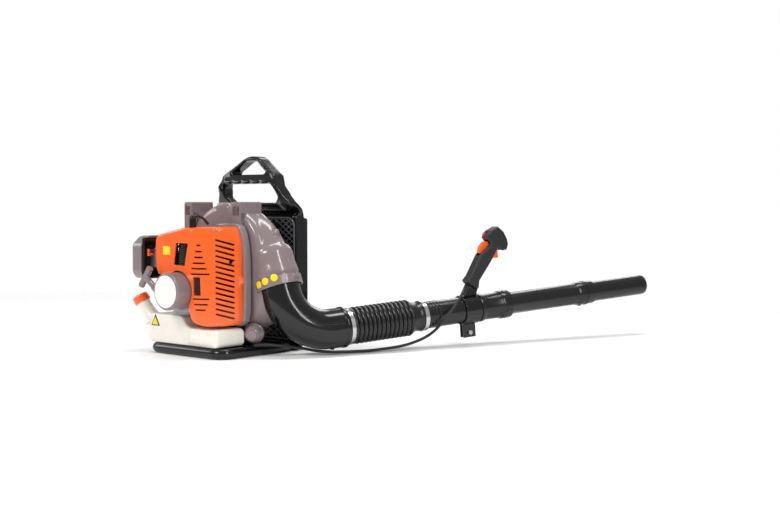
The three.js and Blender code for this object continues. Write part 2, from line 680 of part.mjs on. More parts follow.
function makeTank() {
  const front = -143;
  const back = coverBack;
  const neckStart = -68;
  const mouth = capHeight / 2 - 6;
  const along2 = (radius, from, to, sides = 20) => placed(disc(radius, from, to, sides), capMiddle, capWay);
  const neckRadius = capRadius - 4;
  const outer = slab(tankOutline(0), front, back, 9, 2);
  const neck = along2(neckRadius, neckStart, mouth);
  const inner = slab(tankOutline(tankWall + 2), front + tankWall, back - tankWall);
  const throat = along2(neckRadius - tankWall, neckStart + 14, mouth + 5);
  const linePort = rod(4, point(-118, -66, tankTop - 15), point(-118, -66, tankTop + 5), 10);
  const belowTank = block(-400, 400, -400, 400, 0, baseHeight + gap);
  const tank = outer.add(neck).subtract(inner.add(throat)).subtract(linePort).subtract(belowTank);
  part('fuel_tank', tank, whitePlastic);

  const half = capHeight / 2;
  const cap = turned([[0, half], [capRadius - 2, half], [capRadius, half - 2], [capRadius, -half],
    [neckRadius + slide, -half], [neckRadius + slide, half - 4], [0, half - 4]], 24);
  part('fuel_cap', placed(cap, capMiddle, capWay), orangePlastic);

  const line = new THREE.CatmullRomCurve3([point(-118, -66, tankTop - 10), point(-118, -66, tankTop + 15),
    point(-120, -68, tankTop + 60), point(-122, -78, carbHeight - 8), point(-122, -86, carbHeight)]);
  part('fuel_line', sweep(line, 2.5, 14, 8), finish('#c9b48a', 0.4));
}

// ---- Throttle cable's route -----------------------------------------------------------------

// From the base past the elbow's hook and the hose's clip to the handle, which it hangs between.
const cableRoute = [[150, -36, 30], [166, -20, 32], [190, 22, 27], [225, 60, 20], [252, 92, 12], [279, 124, 8],
  [302, 167, 6.5], [324, 216, 6], [341, 262, 8], [359, 307, 12], [374, 346, 20], [388, 384, 33],
  [408, 400, 52], [434, 410, 84], [447, 432, 115], [448, 460, 140], [442, 486, 160], [429, 513, 172]]
  .map(([x, y, z]) => point(x, y, z));
const elbowClip = 5;
const hoseClip = 11;
const cableGap = 0.006;
const cableCurve = new THREE.CatmullRomCurve3(cableRoute);

// The cable between two numbered points of its route.
class CableStretch extends THREE.Curve {
  constructor(from, to) {
    super();
    this.from = from;
    this.to = to;
  }

  getPoint(t, target = new THREE.Vector3()) {
    const at = this.from + (this.to - this.from) * t;
    return cableCurve.getPoint(at / (cableRoute.length - 1), target);
  }
}

const cableSpace = (from, to) => sweep(new CableStretch(from, to), cableRadius + 1, 4, 8);

// ---- Elbow and blow tube ------------------------------------------------------------------

// The tube's own direction, and the elbow's way from the outlet to it.
const tubeWay = point(
  Math.sin(rad(tubeHeading)) * Math.cos(rad(tubeRise)),
  Math.cos(rad(tubeHeading)) * Math.cos(rad(tubeRise)),
  Math.sin(rad(tubeRise)));
const bendAngle = outletWay.angleTo(tubeWay);
const bendReach = elbowBend * Math.tan(bendAngle / 2);
const bendStart = outletMiddle.clone().addScaledVector(outletWay, elbowStart);
const bendCorner = bendStart.clone().addScaledVector(outletWay, bendReach);
const bendEnd = bendCorner.clone().addScaledVector(tubeWay, bendReach);
const tubeStart = bendEnd.clone().addScaledVector(tubeWay, elbowEnd);

function elbowCurve(before, after) {
  const handle = (4 / 3) * Math.tan(bendAngle / 4) * elbowBend;
  const curve = new THREE.CurvePath();
  curve.add(new THREE.LineCurve3(outletMiddle.clone().addScaledVector(outletWay, before), bendStart));
  curve.add(new THREE.CubicBezierCurve3(bendStart, bendStart.clone().addScaledVector(outletWay, handle),
    bendEnd.clone().addScaledVector(tubeWay, -handle), bendEnd));
  curve.add(new THREE.LineCurve3(bendEnd, tubeStart.clone().addScaledVector(tubeWay, after)));
  return curve;
}

function makeElbow() {
  const collarInner = socket(outletRadius);
  const collarOuter = collarInner + 5;
  const collar = placed(ring(collarInner, collarOuter, -12, 12), outletMiddle, outletWay);
  const outwards = point(-outletWay.z, 0, outletWay.x);
  const forwards = outwards.clone().multiplyScalar(-0.745).add(point(0, -0.667, 0));
  const from = (way, distance) => outletMiddle.clone().addScaledVector(way, distance);
  const boss = rod(7, from(outwards, collarInner + 1), from(outwards, collarOuter + 18), 8);
  const lug = rod(6, from(forwards, collarInner + 1), from(forwards, collarOuter + 16), 8);
  part('outlet_clamp', joined(collar, boss, lug).subtract(housingSpace()), greyPlastic);

  const outer = sweep(elbowCurve(0, -2), elbowRadius, 8, roundSides)
    .add(outletPipe(outletRadius, -1.5, 6));
  const tube = (radius, from, to) => placed(disc(radius, from, to), tubeStart, tubeWay);
  const spigot = tube(spigotRadius, -10, spigotLength);
  const inner = sweep(elbowCurve(-20, -2 - elbowWall), elbowRadius - elbowWall, 8, roundSides);
  const bore = tube(spigotRadius - elbowWall, -20, spigotLength + 10);
  const clip = cableRoute[elbowClip];
  const hook = rod(8, point(clip.x, clip.y, clip.z - 3), point(clip.x, clip.y, clip.z + 60), 10);
  const elbow = outer.add(spigot).add(hook).subtract(inner).subtract(bore)
    .subtract(cableSpace(elbowClip - 0.3, elbowClip + 0.3));
  part('elbow_pipe', elbow, blackPlastic);
}

const tube = new THREE.Group();
tube.position.copy(tubeStart);
const tubeAcross = tubeWay.clone().cross(point(0, 0, 1)).normalize();
const tubeUp = tubeAcross.clone().cross(tubeWay);
tube.quaternion.setFromRotationMatrix(new THREE.Matrix4().makeBasis(tubeAcross, tubeWay, tubeUp));
group.add(tube);
tube.updateMatrixWorld();

function makeHose() {
  const cuff = socket(spigotRadius);
  const front = socket(controlRadius);
  const outerCuff = front + 3;
  const clampBand = (inner, from, width, lugAngle) => {
    const bore = socket(inner);
    const screw = block(bore + 1, bore + 12, from + 1, from + width - 1, -6, 6).rotate([0, lugAngle, 0]);
    return ring(bore, bore + 3, from, from + width).add(screw);
  };
  const rearOuter = cuff + hoseWall + 1;
  const profile = [[cuff, -1.5], [rearOuter, -1.5], [rearOuter, 20], [hoseRadius, 26], [hoseRadius, hoseLength - 50],
    [outerCuff, hoseLength - 42], [outerCuff, hoseLength], [front, hoseLength], [front, hoseLength - 44],
    [hoseRadius - 6, hoseLength - 54],
    [hoseRadius - 6, spigotLength + 3], [cuff, spigotLength + 1], [cuff, -1.5]];
  part('bellows_hose', turned(profile), softBlack, tube);
  part('hose_clamp_rear', clampBand(rearOuter, 2, 12, 200), steel, tube);
  const clipAt = tube.worldToLocal(cableRoute[hoseClip].clone());
  const clipWay = point(clipAt.x, 0, clipAt.z).normalize();
  const clipReach = Math.hypot(clipAt.x, clipAt.z) + 6;
  const clipEnds = [outerCuff + 2, clipReach].map((r) => clipWay.clone().multiplyScalar(r).setY(hoseLength - 10));
  const clip = rod(6, ...clipEnds, 8);
  const toTube = tube.matrixWorld.clone().invert();
  const cable = cableSpace(hoseClip - 0.4, hoseClip + 0.4).transform(toTube.elements);
  part('hose_clamp_front', clampBand(outerCuff, hoseLength - 16, 12, 20).add(clip).subtract(cable), steel, tube);
}

function makeTubes() {
  const bore = controlRadius - controlWall;
  const swell = controlRadius + 3.5;
  const neckEnd = controlEnd - bayonetDepth;
  const control = [[bore, controlStart], [controlRadius, controlStart], [controlRadius, clampStart + clampWidth + 4],
    [swell, clampStart + clampWidth + 7], [swell, clampStart + clampWidth + 17],
    [controlRadius, clampStart + clampWidth + 20], [controlRadius, neckEnd], [swell, neckEnd + 6],
    [swell, controlEnd], [bore, controlEnd], [bore, controlStart]];
  part('control_tube', turned(control), blackPlastic, tube);

  const nozzleSeat = socket(nozzleRadius);
  const collar = nozzleSeat + 4;
  const rear = neckEnd + 2;
  const seat = bore * Math.cos(Math.PI / roundSides) - gap;
  const inside = middleRadius - middleWall;
  const collarStart = middleEnd - 56;
  const middle = [[inside, rear], [seat, rear], [seat, controlEnd - 3], [middleRadius, controlEnd + 2],
    [middleRadius, collarStart - 3], [collar, collarStart], [collar, middleEnd], [nozzleSeat, middleEnd],
    [nozzleSeat, collarStart + 2], [inside, collarStart - 2], [inside, rear]];
  part('middle_tube', turned(middle), blackPlastic, tube);

  const mouth = nozzleRadius - 2.5;
  const nozzle = [[mouth, collarStart + 3], [nozzleRadius, collarStart + 3], [nozzleRadius, tubeLength],
    [mouth, tubeLength], [mouth, collarStart + 3]];
  part('nozzle_tube', turned(nozzle), blackPlastic, tube);
}

// ---- Control handle -----------------------------------------------------------------------

const handle = new THREE.Group();
handle.position.set(0, handleStation, controlRadius + 36);
handle.rotation.x = -rad(handleLean);
tube.add(handle);

// The handle's side view: y runs towards the nozzle, z runs up the grip.
const handleEdge = [[-15, -6], [18, -10], [24, -2], [17, 16], [27, gripLength - 50], [29, gripLength - 26],
  [31, gripLength - 6], [48, gripLength - 5], [59, gripLength + 3], [56, gripLength + 19], [46, gripLength + 31],
  [25, gripLength + 44], [1, gripLength + 48], [-15, gripLength + 27], [-20, gripLength + 13], [-17, gripLength + 2],
  [2, gripLength - 6], [2, gripLength - 10], [-14, gripLength - 47], [-16, 15], [-21, -2]];

function makeHandle() {
  const half = handleWidth / 2;
  const clampInner = socket(controlRadius);
  const clampOuter = clampInner + 4.5;
  const clampEnd = clampStart + clampWidth;
  const lugLow = -clampOuter - 36;
  const boltHeight = lugLow + 14;
  const boltStation = clampStart + 22;
  const band = ring(clampInner, clampOuter, clampStart, clampEnd);
  const lugs = [-1, 1].map((side) => block(side * 7 - 3, side * 7 + 3, clampStart + 2, clampStart + 42, lugLow,
    -clampInner - 1));
  const r = controlRadius;
  const neck = sideways(outline([[clampStart + 6, r - 1], [clampEnd, r - 1], [clampEnd + 4, r + 13.5],
    [clampEnd + 8, r + 21.5], [clampEnd - 14, r + 39.5], [clampEnd - 18, r + 29.5], [clampEnd - 34, r + 9.5]]),
  -half + 5, half - 5);
  const boreSpace = disc(clampInner, clampStart - 5, clampEnd + 5);
  const boltHole = rod(4 + slide, point(-30, boltStation, boltHeight), point(30, boltStation, boltHeight), 10);
  const slit = block(-3, 3, clampStart - 5, clampEnd + 5, lugLow - 5, 3 - r);
  const handleSpace = sideways(outline(drawnIn(handleEdge, -gap)), -half - gap, half + gap);
  const turnBack = new THREE.Matrix4().compose(handle.position, handle.quaternion, new THREE.Vector3(1, 1, 1));
  const clamp = joined(band, neck, ...lugs).subtract(boreSpace).subtract(boltHole).subtract(slit)
    .subtract(handleSpace.transform(turnBack.elements));
  part('handle_clamp', clamp, blackPlastic, tube);
  const boltAt = (x) => point(x, boltStation, boltHeight);
  const bolt = joined(rod(4, boltAt(-13), boltAt(13), 10), rod(7, boltAt(10 + gap), boltAt(16), 6),
    rod(7, boltAt(-16), boltAt(-10 - gap), 12));
  part('clamp_bolt', bolt, steel, tube);

  const outer = sideways(outline(handleEdge), -half, half, 4, 1);
  const inner = sideways(outline(drawnIn(handleEdge, handleWall + 1)), -half + handleWall, half - handleWall);
  const slotHalf = 6;
  const cableHole = block(-slotHalf, slotHalf, -16, -4, -20, 12);
  const triggerSlot = block(-slotHalf, slotHalf, 20, 50, gripLength - 46, gripLength + 3);
  const lockSlot = block(-slotHalf, slotHalf, -36, 6, gripLength - 51, gripLength + 1);
  const switchHole = block(-slotHalf, slotHalf, -34, -8, gripLength + 5, gripLength + 17);
  const shell = outer.subtract(inner).subtract(cableHole).subtract(triggerSlot).subtract(lockSlot).subtract(switchHole);
  const far = 300;
  part('handle_left_shell', shell.intersect(block(-far, -gap / 2, -far, far, -far, far)), blackPlastic, handle);
  part('handle_right_shell', shell.intersect(block(gap / 2, far, -far, far, -far, far)), blackPlastic, handle);

  const fingerWidth = 5;
  const trigger = sideways(outline([[18, gripLength - 14], [32, gripLength - 37], [49, gripLength - 28],
    [35, gripLength - 7], [18, gripLength - 6]]), -fingerWidth, fingerWidth);
  part('throttle_trigger', trigger, orangePlastic, handle);
  const lock = sideways(outline([[4, gripLength - 20], [-3, gripLength - 26], [-10, gripLength - 44],
    [-17, gripLength - 45], [-22, gripLength - 28], [-16, gripLength - 8], [-5, gripLength - 3], [4, gripLength - 8]]),
  -fingerWidth, fingerWidth);
  part('throttle_lock_lever', lock, orangePlastic, handle);
  const button = block(-5, 5, -23, -11, gripLength + 6, gripLength + 16);
  part('stop_switch', button, redPlastic, handle);
}

// ---- Throttle cable -----------------------------------------------------------------------

function makeCable() {
  const last = cableRoute.length - 1;
  const stretches = [['lower', 0, elbowClip], ['middle', elbowClip, hoseClip], ['upper', hoseClip, last]];
  for (const [name, from, to] of stretches) {
    const curve = new CableStretch(from + cableGap, to - cableGap);
    part(`throttle_cable_${name}`, sweep(curve, cableRadius, 18, 8), softBlack);
  }
}

makeBase();
makeBackFrame();
makeHarness();
makeFanHousing();
makeFan();
makeEngine();
makeIntake();
makeStarter();
makeCover();
makeTank();
makeElbow();
makeHose();
makeTubes();
makeHandle();
makeCable();

export default group;
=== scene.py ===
import bmesh
import bpy
import json
import math
from mathutils import Matrix, Vector
from mathutils.bvhtree import BVHTree

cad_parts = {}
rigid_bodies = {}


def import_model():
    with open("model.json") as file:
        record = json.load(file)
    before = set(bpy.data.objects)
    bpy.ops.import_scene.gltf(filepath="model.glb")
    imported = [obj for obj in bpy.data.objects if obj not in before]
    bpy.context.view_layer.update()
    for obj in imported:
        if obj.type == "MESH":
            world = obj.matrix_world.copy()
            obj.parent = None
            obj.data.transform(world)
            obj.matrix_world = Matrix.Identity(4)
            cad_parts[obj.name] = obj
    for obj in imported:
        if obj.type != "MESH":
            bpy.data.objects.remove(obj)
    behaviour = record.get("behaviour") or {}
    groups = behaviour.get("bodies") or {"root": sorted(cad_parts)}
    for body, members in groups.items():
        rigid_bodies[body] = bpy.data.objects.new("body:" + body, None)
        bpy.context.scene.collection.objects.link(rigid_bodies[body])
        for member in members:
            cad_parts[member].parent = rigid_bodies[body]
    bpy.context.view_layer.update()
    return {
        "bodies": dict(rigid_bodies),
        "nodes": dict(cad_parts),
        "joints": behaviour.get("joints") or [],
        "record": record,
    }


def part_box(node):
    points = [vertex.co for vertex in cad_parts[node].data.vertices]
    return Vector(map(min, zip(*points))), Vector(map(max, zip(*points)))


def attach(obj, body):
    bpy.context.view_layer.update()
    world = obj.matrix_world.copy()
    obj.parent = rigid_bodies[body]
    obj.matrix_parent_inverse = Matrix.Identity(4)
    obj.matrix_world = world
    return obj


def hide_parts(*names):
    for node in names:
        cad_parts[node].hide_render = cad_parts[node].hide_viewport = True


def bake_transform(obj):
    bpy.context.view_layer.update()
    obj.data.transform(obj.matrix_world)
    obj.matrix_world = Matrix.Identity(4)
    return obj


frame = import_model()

mm = 0.001
scene = bpy.context.scene
cadNodes = frame["nodes"]
lying = Matrix(((1, 0, 0, 0), (0, 0, 1, 0), (0, 1, 0, 0), (0, 0, 0, 1)))  # lays an outline flat on the floor


# Colours are written as sRGB hex and turned to linear here.
def linear(code):
    parts = [int(code[i:i + 2], 16) / 255 for i in (1, 3, 5)]
    return tuple(c / 12.92 if c <= 0.04045 else ((c + 0.055) / 1.055) ** 2.4 for c in parts) + (1.0,)


def point(x, y, z):
    return Vector((x, y, z)) * mm


# Adds a node, sets its settings, then fills or links its inputs.
def addNode(tree, kind, settings=None, inputs=None):
    node = tree.nodes.new(kind)
    for key, value in (settings or {}).items():
        setattr(node, key, value)
    for key, value in (inputs or {}).items():
        if isinstance(value, bpy.types.NodeSocket):
            tree.links.new(value, node.inputs[key])
        else:
            node.inputs[key].default_value = value
    return node


view = {
    "eye": (2.3679, -2.1293, 0.400),
    "azimuth": 40.0,
    "dip": 2.789,
    "lens": 54.0,
    "floor": "#fbfbfa",
}


def makeCamera():
    turn, dip = math.radians(view["azimuth"]), math.radians(view["dip"])
    way = Vector((-math.sin(turn) * math.cos(dip), math.cos(turn) * math.cos(dip), -math.sin(dip)))
    data = bpy.data.cameras.new("camera")
    data.lens = view["lens"]
    data.sensor_width = 36
    data.clip_end = 100
    camera = bpy.data.objects.new("camera", data)
    scene.collection.objects.link(camera)
    camera.location = view["eye"]
    camera.rotation_euler = way.to_track_quat("-Z", "Y").to_euler()
    scene.camera = camera


def makeFloor():
    mesh = bpy.data.meshes.new("floor")
    mesh.from_pydata([(-14, -14, 0), (14, -14, 0), (14, 14, 0), (-14, 14, 0)], [], [(0, 1, 2, 3)])
    floor = bpy.data.objects.new("floor", mesh)
    scene.collection.objects.link(floor)
    paint = bpy.data.materials.new("paperSweep")
    paint.use_nodes = True
    tree = paint.node_tree
    shader = tree.nodes["Principled BSDF"]
    shader.inputs["Base Color"].default_value = linear(view["floor"])
    shader.inputs["Roughness"].default_value = 0.9
    # the paper runs out softly, so no edge shows behind the machine
    spot = addNode(tree, "ShaderNodeTexCoord").outputs["Object"]
    away = addNode(tree, "ShaderNodeVectorMath", {"operation": "LENGTH"}, {0: spot})
    fade = addNode(tree, "ShaderNodeMapRange", {"interpolation_type": "SMOOTHSTEP"}, {
        "Value": away.outputs["Value"], "From Min": 1.0, "From Max": 2.6, "To Min": 1.0, "To Max": 0.0})
    tree.links.new(fade.outputs[0], shader.inputs["Alpha"])
    mesh.materials.append(paint)


def addLight(name, place, target, size, power):
    data = bpy.data.lights.new(name, "AREA")
    data.shape = "RECTANGLE"
    data.size, data.size_y = size
    data.energy = power
    light = bpy.data.objects.new(name, data)
    scene.collection.objects.link(light)
    light.location = place
    light.rotation_euler = (Vector(target) - Vector(place)).to_track_quat("-Z", "Y").to_euler()


makeCamera()
makeFloor()
addLight("keySoftbox", (0.1, -2.7, 2.2), (0.1, 0.2, 0.25), (0.9, 0.9), 46)
addLight("sideStrip", (2.8, -0.4, 1.7), (0.3, 0.4, 0.2), (0.25, 2.0), 30)
addLight("topSoftbox", (0.3, 0.6, 2.9), (0.1, 0.3, 0.2), (0.6, 2.2), 44)
addLight("leftFill", (-2.6, -1.4, 1.3), (0, 0, 0.2), (1.0, 1.4), 18)
addLight("backFill", (-1.2, 3.2, 2.0), (0, 0.3, 0.2), (1.6, 1.6), 26)
# a white surround for the eye, but dimmer as light, so that black stays black
world = bpy.data.worlds.new("studio")
scene.world = world
world.use_nodes = True
sky = world.node_tree
seen = addNode(sky, "ShaderNodeLightPath").outputs["Is Camera Ray"]
bright = addNode(sky, "ShaderNodeMapRange", None, {"Value": seen, "To Min": 0.42, "To Max": 1.0})
sky.links.new(bright.outputs[0], sky.nodes["Background"].inputs["Strength"])
sky.nodes["Background"].inputs["Color"].default_value = linear("#ffffff")
scene.view_settings.view_transform = "Standard"
print("stage ready")


made = {}


# A new material with its nodes, its shader and the object's own coordinates.
def startMaterial(name):
    material = bpy.data.materials.new(name)
    material.use_nodes = True
    tree = material.node_tree
    made[name] = material
    coords = addNode(tree, "ShaderNodeTexCoord").outputs["Object"]
    return material, tree, tree.nodes["Principled BSDF"], coords


# Every solid finish: two close tones, fine surface grain, uneven gloss, and edges painted lighter, partly handling wear
# and partly a painted highlight.
finishes = {
    # glossy black injection-moulded polypropylene: deep black with a soft sheen and faint handling marks
    "mouldedBlackPolypropylene": {"tone": "#0b0b0d", "shade": "#101012", "edge": "#1a1a1e", "rough": 0.15,
                                  "spread": 0.08, "grainMm": 2.4, "grain": 0.02, "slot": "black_plastic"},
    # blow-tube black, the same plastic extruded, a little duller and finely drawn
    "extrudedBlackPolypropylene": {"tone": "#0f0f11", "shade": "#151517", "edge": "#202024", "rough": 0.24,
                                   "spread": 0.08, "grainMm": 2.0, "grain": 0.03, "slot": "black_plastic"},
    # spark-textured nylon of the handle: dull, pebbled
    "texturedNylon": {"tone": "#171719", "shade": "#1f1f22", "edge": "#2c2c30", "rough": 0.42,
                      "spread": 0.08, "grainMm": 1.2, "grain": 0.12, "slot": "black_plastic"},
    # hose rubber: soft sheen, slightly blooming grey in places
    "mouldedRubber": {"tone": "#0c0c0d", "shade": "#131314", "edge": "#1c1c1e", "rough": 0.28,
                      "spread": 0.1, "grainMm": 2.0, "grain": 0.05, "slot": "soft_black"},
    # mauve-grey ABS of the fan housing: glossy moulded skin
    "mouldedGreyAbs": {"tone": "#86787a", "shade": "#7e7072", "edge": "#9a8c8e", "rough": 0.2,
                       "spread": 0.07, "grainMm": 2.6, "grain": 0.02, "slot": "grey_plastic", "coat": 0.25},
    # orange ABS of the cover: bright, glossy, a touch of orange peel
    "mouldedOrangeAbs": {"tone": "#fb6416", "shade": "#f45c10", "edge": "#ff8038", "rough": 0.17,
                         "spread": 0.06, "grainMm": 3.5, "grain": 0.02, "slot": "orange_plastic", "coat": 0.4},
    # net of drawn polypropylene, greyed by dust and light
    "drawnPolypropyleneNet": {"tone": "#4a4a4e", "shade": "#3c3c40", "edge": "#6a6a70", "rough": 0.3,
                              "spread": 0.1, "grainMm": 1.5, "grain": 0.03, "slot": "black_plastic"},
    # red ABS of the stop switch: moulded, satin from touch
    "mouldedRedAbs": {"tone": "#c02318", "shade": "#a91c12", "edge": "#d8503f", "rough": 0.3,
                      "spread": 0.1, "grainMm": 1.2, "grain": 0.05, "slot": "red_plastic"},
    # tank polyethylene: milky, lets light in, waxy
    "blowMouldedPolyethylene": {"tone": "#efece4", "shade": "#e6e1d4", "edge": "#f8f6f0", "rough": 0.3,
                                "spread": 0.08, "grainMm": 2.6, "grain": 0.03, "slot": "tank_white"},
    # printed white badge plastic
    "printedWhitePlastic": {"tone": "#f3efec", "shade": "#ece6e2", "edge": "#ffffff", "rough": 0.24,
                            "spread": 0.06, "grainMm": 2.5, "grain": 0.02, "slot": "white_plastic"},
    # yellow vinyl film of the labels
    "yellowVinyl": {"tone": "#f6dc10", "shade": "#ecd00a", "edge": "#fbe85a", "rough": 0.3,
                    "spread": 0.06, "grainMm": 1.5, "grain": 0.02},
    # black vinyl film round the triangular label: satin
    "blackVinyl": {"tone": "#1a1a18", "shade": "#242420", "edge": "#2c2c28", "rough": 0.35,
                   "spread": 0.06, "grainMm": 1.5, "grain": 0.02},
    # die-cast aluminium: grey metal with the sandy skin of the mould
    "dieCastAluminium": {"tone": "#9a9c9f", "shade": "#85878a", "edge": "#c8cacc", "rough": 0.42, "metal": 1.0,
                         "spread": 0.12, "grainMm": 1.2, "grain": 0.2, "slot": "cast_aluminium"},
    # stainless band, cold rolled and lightly brushed
    "brushedStainless": {"tone": "#c9cacb", "shade": "#b4b5b6", "edge": "#e4e5e6", "rough": 0.24, "metal": 1.0,
                         "spread": 0.1, "grainMm": 1.2, "grain": 0.05, "slot": "bright_steel"},
    # zinc-plated screws and shafts
    "zincPlatedSteel": {"tone": "#b9b9b6", "shade": "#a2a29f", "edge": "#dcdcd8", "rough": 0.3, "metal": 1.0,
                        "spread": 0.1, "grainMm": 1.2, "grain": 0.06, "slot": "bright_steel"},
    # reticulated foam of the filter: dark open cells
    "reticulatedFoam": {"tone": "#262627", "shade": "#161617", "edge": "#39393a", "rough": 0.95,
                        "spread": 0.05, "grainMm": 1.6, "grain": 0.9, "slot": "foam_pad"},
    # clear amber fuel hose
    "amberVinylHose": {"tone": "#c9a860", "shade": "#b8954c", "edge": "#dcc084", "rough": 0.28,
                       "spread": 0.1, "grainMm": 1.2, "grain": 0.04, "slot": "fuel_hose", "glow": 0.2},
    # lead jacket of the throttle cable: matt black vinyl
    "vinylCableJacket": {"tone": "#161617", "shade": "#202022", "edge": "#2e2e31", "rough": 0.42,
                         "spread": 0.12, "grainMm": 0.9, "grain": 0.12, "slot": "soft_black"},
}


def finish(name):
    if name in made:
        return made[name]
    look = finishes[name]
    material, tree, shader, coords = startMaterial(name)
    cloud = addNode(tree, "ShaderNodeTexNoise", None,
                    {"Vector": coords, "Scale": 22.0, "Detail": 4.0, "Roughness": 0.6})
    marks = addNode(tree, "ShaderNodeTexNoise", None, {"Vector": coords, "Scale": 60.0, "Detail": 2.0})
    grain = addNode(tree, "ShaderNodeTexNoise", None,
                    {"Vector": coords, "Scale": 1 / (look["grainMm"] * mm), "Detail": 2.0})
    tone = addNode(tree, "ShaderNodeMix", {"data_type": "RGBA"},
                   {0: cloud.outputs[0], 6: linear(look["tone"]), 7: linear(look["shade"])})
    # edges are painted lighter: handling wear, and a painted highlight where edges catch light
    edgeWearAndHighlight = addNode(tree, "ShaderNodeMapRange", None, {
        "Value": addNode(tree, "ShaderNodeNewGeometry").outputs["Pointiness"],
        "From Min": 0.56, "From Max": 0.68, "To Min": 0.0, "To Max": 0.5})
    wearAndHighlightTone = addNode(tree, "ShaderNodeMix", {"data_type": "RGBA"},
                   {0: edgeWearAndHighlight.outputs[0], 6: tone.outputs[2], 7: linear(look["edge"])})
    gloss = addNode(tree, "ShaderNodeMapRange", None, {
        "Value": marks.outputs[0], "From Min": 0.3, "From Max": 0.7,
        "To Min": look["rough"] - look["spread"] / 2, "To Max": look["rough"] + look["spread"] / 2})
    bump = addNode(tree, "ShaderNodeBump", None,
                   {"Height": grain.outputs[0], "Strength": look["grain"], "Distance": 0.25 * mm})
    tree.links.new(wearAndHighlightTone.outputs[2], shader.inputs["Base Color"])
    tree.links.new(gloss.outputs[0], shader.inputs["Roughness"])
    tree.links.new(bump.outputs[0], shader.inputs["Normal"])
    if "metal" in look:
        shader.inputs["Metallic"].default_value = look["metal"]
    else:
        shader.inputs["IOR"].default_value = 1.5
    if "coat" in look:
        shader.inputs["Coat Weight"].default_value = look["coat"]
        shader.inputs["Coat Roughness"].default_value = 0.08
    if "glow" in look:
        shader.inputs["Subsurface Weight"].default_value = look["glow"]
        shader.inputs["Subsurface Radius"].default_value = (0.012, 0.011, 0.009)
        shader.inputs["Subsurface Scale"].default_value = 0.6
    return material


# Woven nylon webbing, ribs 1.6 mm apart across the strap and threads along it, drawn coarse enough to show.
def wovenNylon():
    if "wovenNylonWebbing" in made:
        return made["wovenNylonWebbing"]
    material, tree, shader, coords = startMaterial("wovenNylonWebbing")
    weft = addNode(tree, "ShaderNodeTexWave", {"bands_direction": "Z"},
                   {"Vector": coords, "Scale": 200.0, "Distortion": 0.6, "Detail": 1.0})
    warp = addNode(tree, "ShaderNodeTexWave", {"bands_direction": "X"},
                   {"Vector": coords, "Scale": 130.0, "Distortion": 0.4})
    weave = addNode(tree, "ShaderNodeMath", {"operation": "MULTIPLY"}, {0: weft.outputs[1], 1: warp.outputs[1]})
    tone = addNode(tree, "ShaderNodeMix", {"data_type": "RGBA"},
                   {0: weave.outputs[0], 6: linear("#151517"), 7: linear("#3a3a3f")})
    bump = addNode(tree, "ShaderNodeBump", None,
                   {"Height": weave.outputs[0], "Strength": 0.6, "Distance": 0.5 * mm})
    tree.links.new(tone.outputs[2], shader.inputs["Base Color"])
    tree.links.new(bump.outputs[0], shader.inputs["Normal"])
    shader.inputs["Roughness"].default_value = 0.78
    shader.inputs["Sheen Weight"].default_value = 0.3
    return material


# Knitted spacer fabric of the pads: small round cells 3 mm apart over dark foam.
def knittedSpacerFabric():
    if "knittedSpacerFabric" in made:
        return made["knittedSpacerFabric"]
    material, tree, shader, coords = startMaterial("knittedSpacerFabric")
    cells = addNode(tree, "ShaderNodeTexVoronoi", {"feature": "F1"},
                    {"Vector": coords, "Scale": 330.0, "Randomness": 0.35})
    cloud = addNode(tree, "ShaderNodeTexNoise", None, {"Vector": coords, "Scale": 18.0, "Detail": 3.0})
    shade = addNode(tree, "ShaderNodeMix", {"data_type": "RGBA"},
                    {0: cloud.outputs[0], 6: linear("#1e1e20"), 7: linear("#2b2b2e")})
    tone = addNode(tree, "ShaderNodeMix", {"data_type": "RGBA"},
                   {0: cells.outputs[0], 6: linear("#0c0c0d"), 7: shade.outputs[2]})
    bump = addNode(tree, "ShaderNodeBump", None, {"Height": cells.outputs[0], "Strength": 0.7, "Distance": 0.6 * mm})
    tree.links.new(tone.outputs[2], shader.inputs["Base Color"])
    tree.links.new(bump.outputs[0], shader.inputs["Normal"])
    shader.inputs["Roughness"].default_value = 0.88
    shader.inputs["Sheen Weight"].default_value = 0.4
    return material


# Braided polyester rope, its crossing strands drawn as one set of bands on the slant.
def braidedPolyester():
    if "braidedPolyester" in made:
        return made["braidedPolyester"]
    material, tree, shader, coords = startMaterial("braidedPolyester")
    strands = addNode(tree, "ShaderNodeTexWave", {"bands_direction": "DIAGONAL"}, {"Vector": coords, "Scale": 160.0})
    tone = addNode(tree, "ShaderNodeMix", {"data_type": "RGBA"},
                   {0: strands.outputs[1], 6: linear("#8f887a"), 7: linear("#ddd8cb")})
    bump = addNode(tree, "ShaderNodeBump", None,
                   {"Height": strands.outputs[1], "Strength": 0.8, "Distance": 0.4 * mm})
    tree.links.new(tone.outputs[2], shader.inputs["Base Color"])
    tree.links.new(bump.outputs[0], shader.inputs["Normal"])
    shader.inputs["Roughness"].default_value = 0.8
    return material


def newObject(name, verts, faces):
    mesh = bpy.data.meshes.new(name)
    mesh.from_pydata([tuple(v) for v in verts], [], faces)
    mesh.update()
    thing = bpy.data.objects.new(name, mesh)
    scene.collection.objects.link(thing)
    return thing


def outward(thing):
    work = bmesh.new()
    work.from_mesh(thing.data)
    bmesh.ops.remove_doubles(work, verts=work.verts, dist=0.01 * mm)
    bmesh.ops.recalc_face_normals(work, faces=work.faces)
    work.to_mesh(thing.data)
    work.free()
    return thing


# The evaluated shape as a plain mesh, with no modifier left.
def settle(thing):
    bpy.context.view_layer.update()
    shape = thing.evaluated_get(bpy.context.evaluated_depsgraph_get())
    mesh = bpy.data.meshes.new_from_object(shape)
    thing.modifiers.clear()
    thing.data = mesh
    return thing


def addModifier(thing, kind, **settings):
    modifier = thing.modifiers.new(kind.lower(), kind)
    for key, value in settings.items():
        setattr(modifier, key, value)
    return modifier


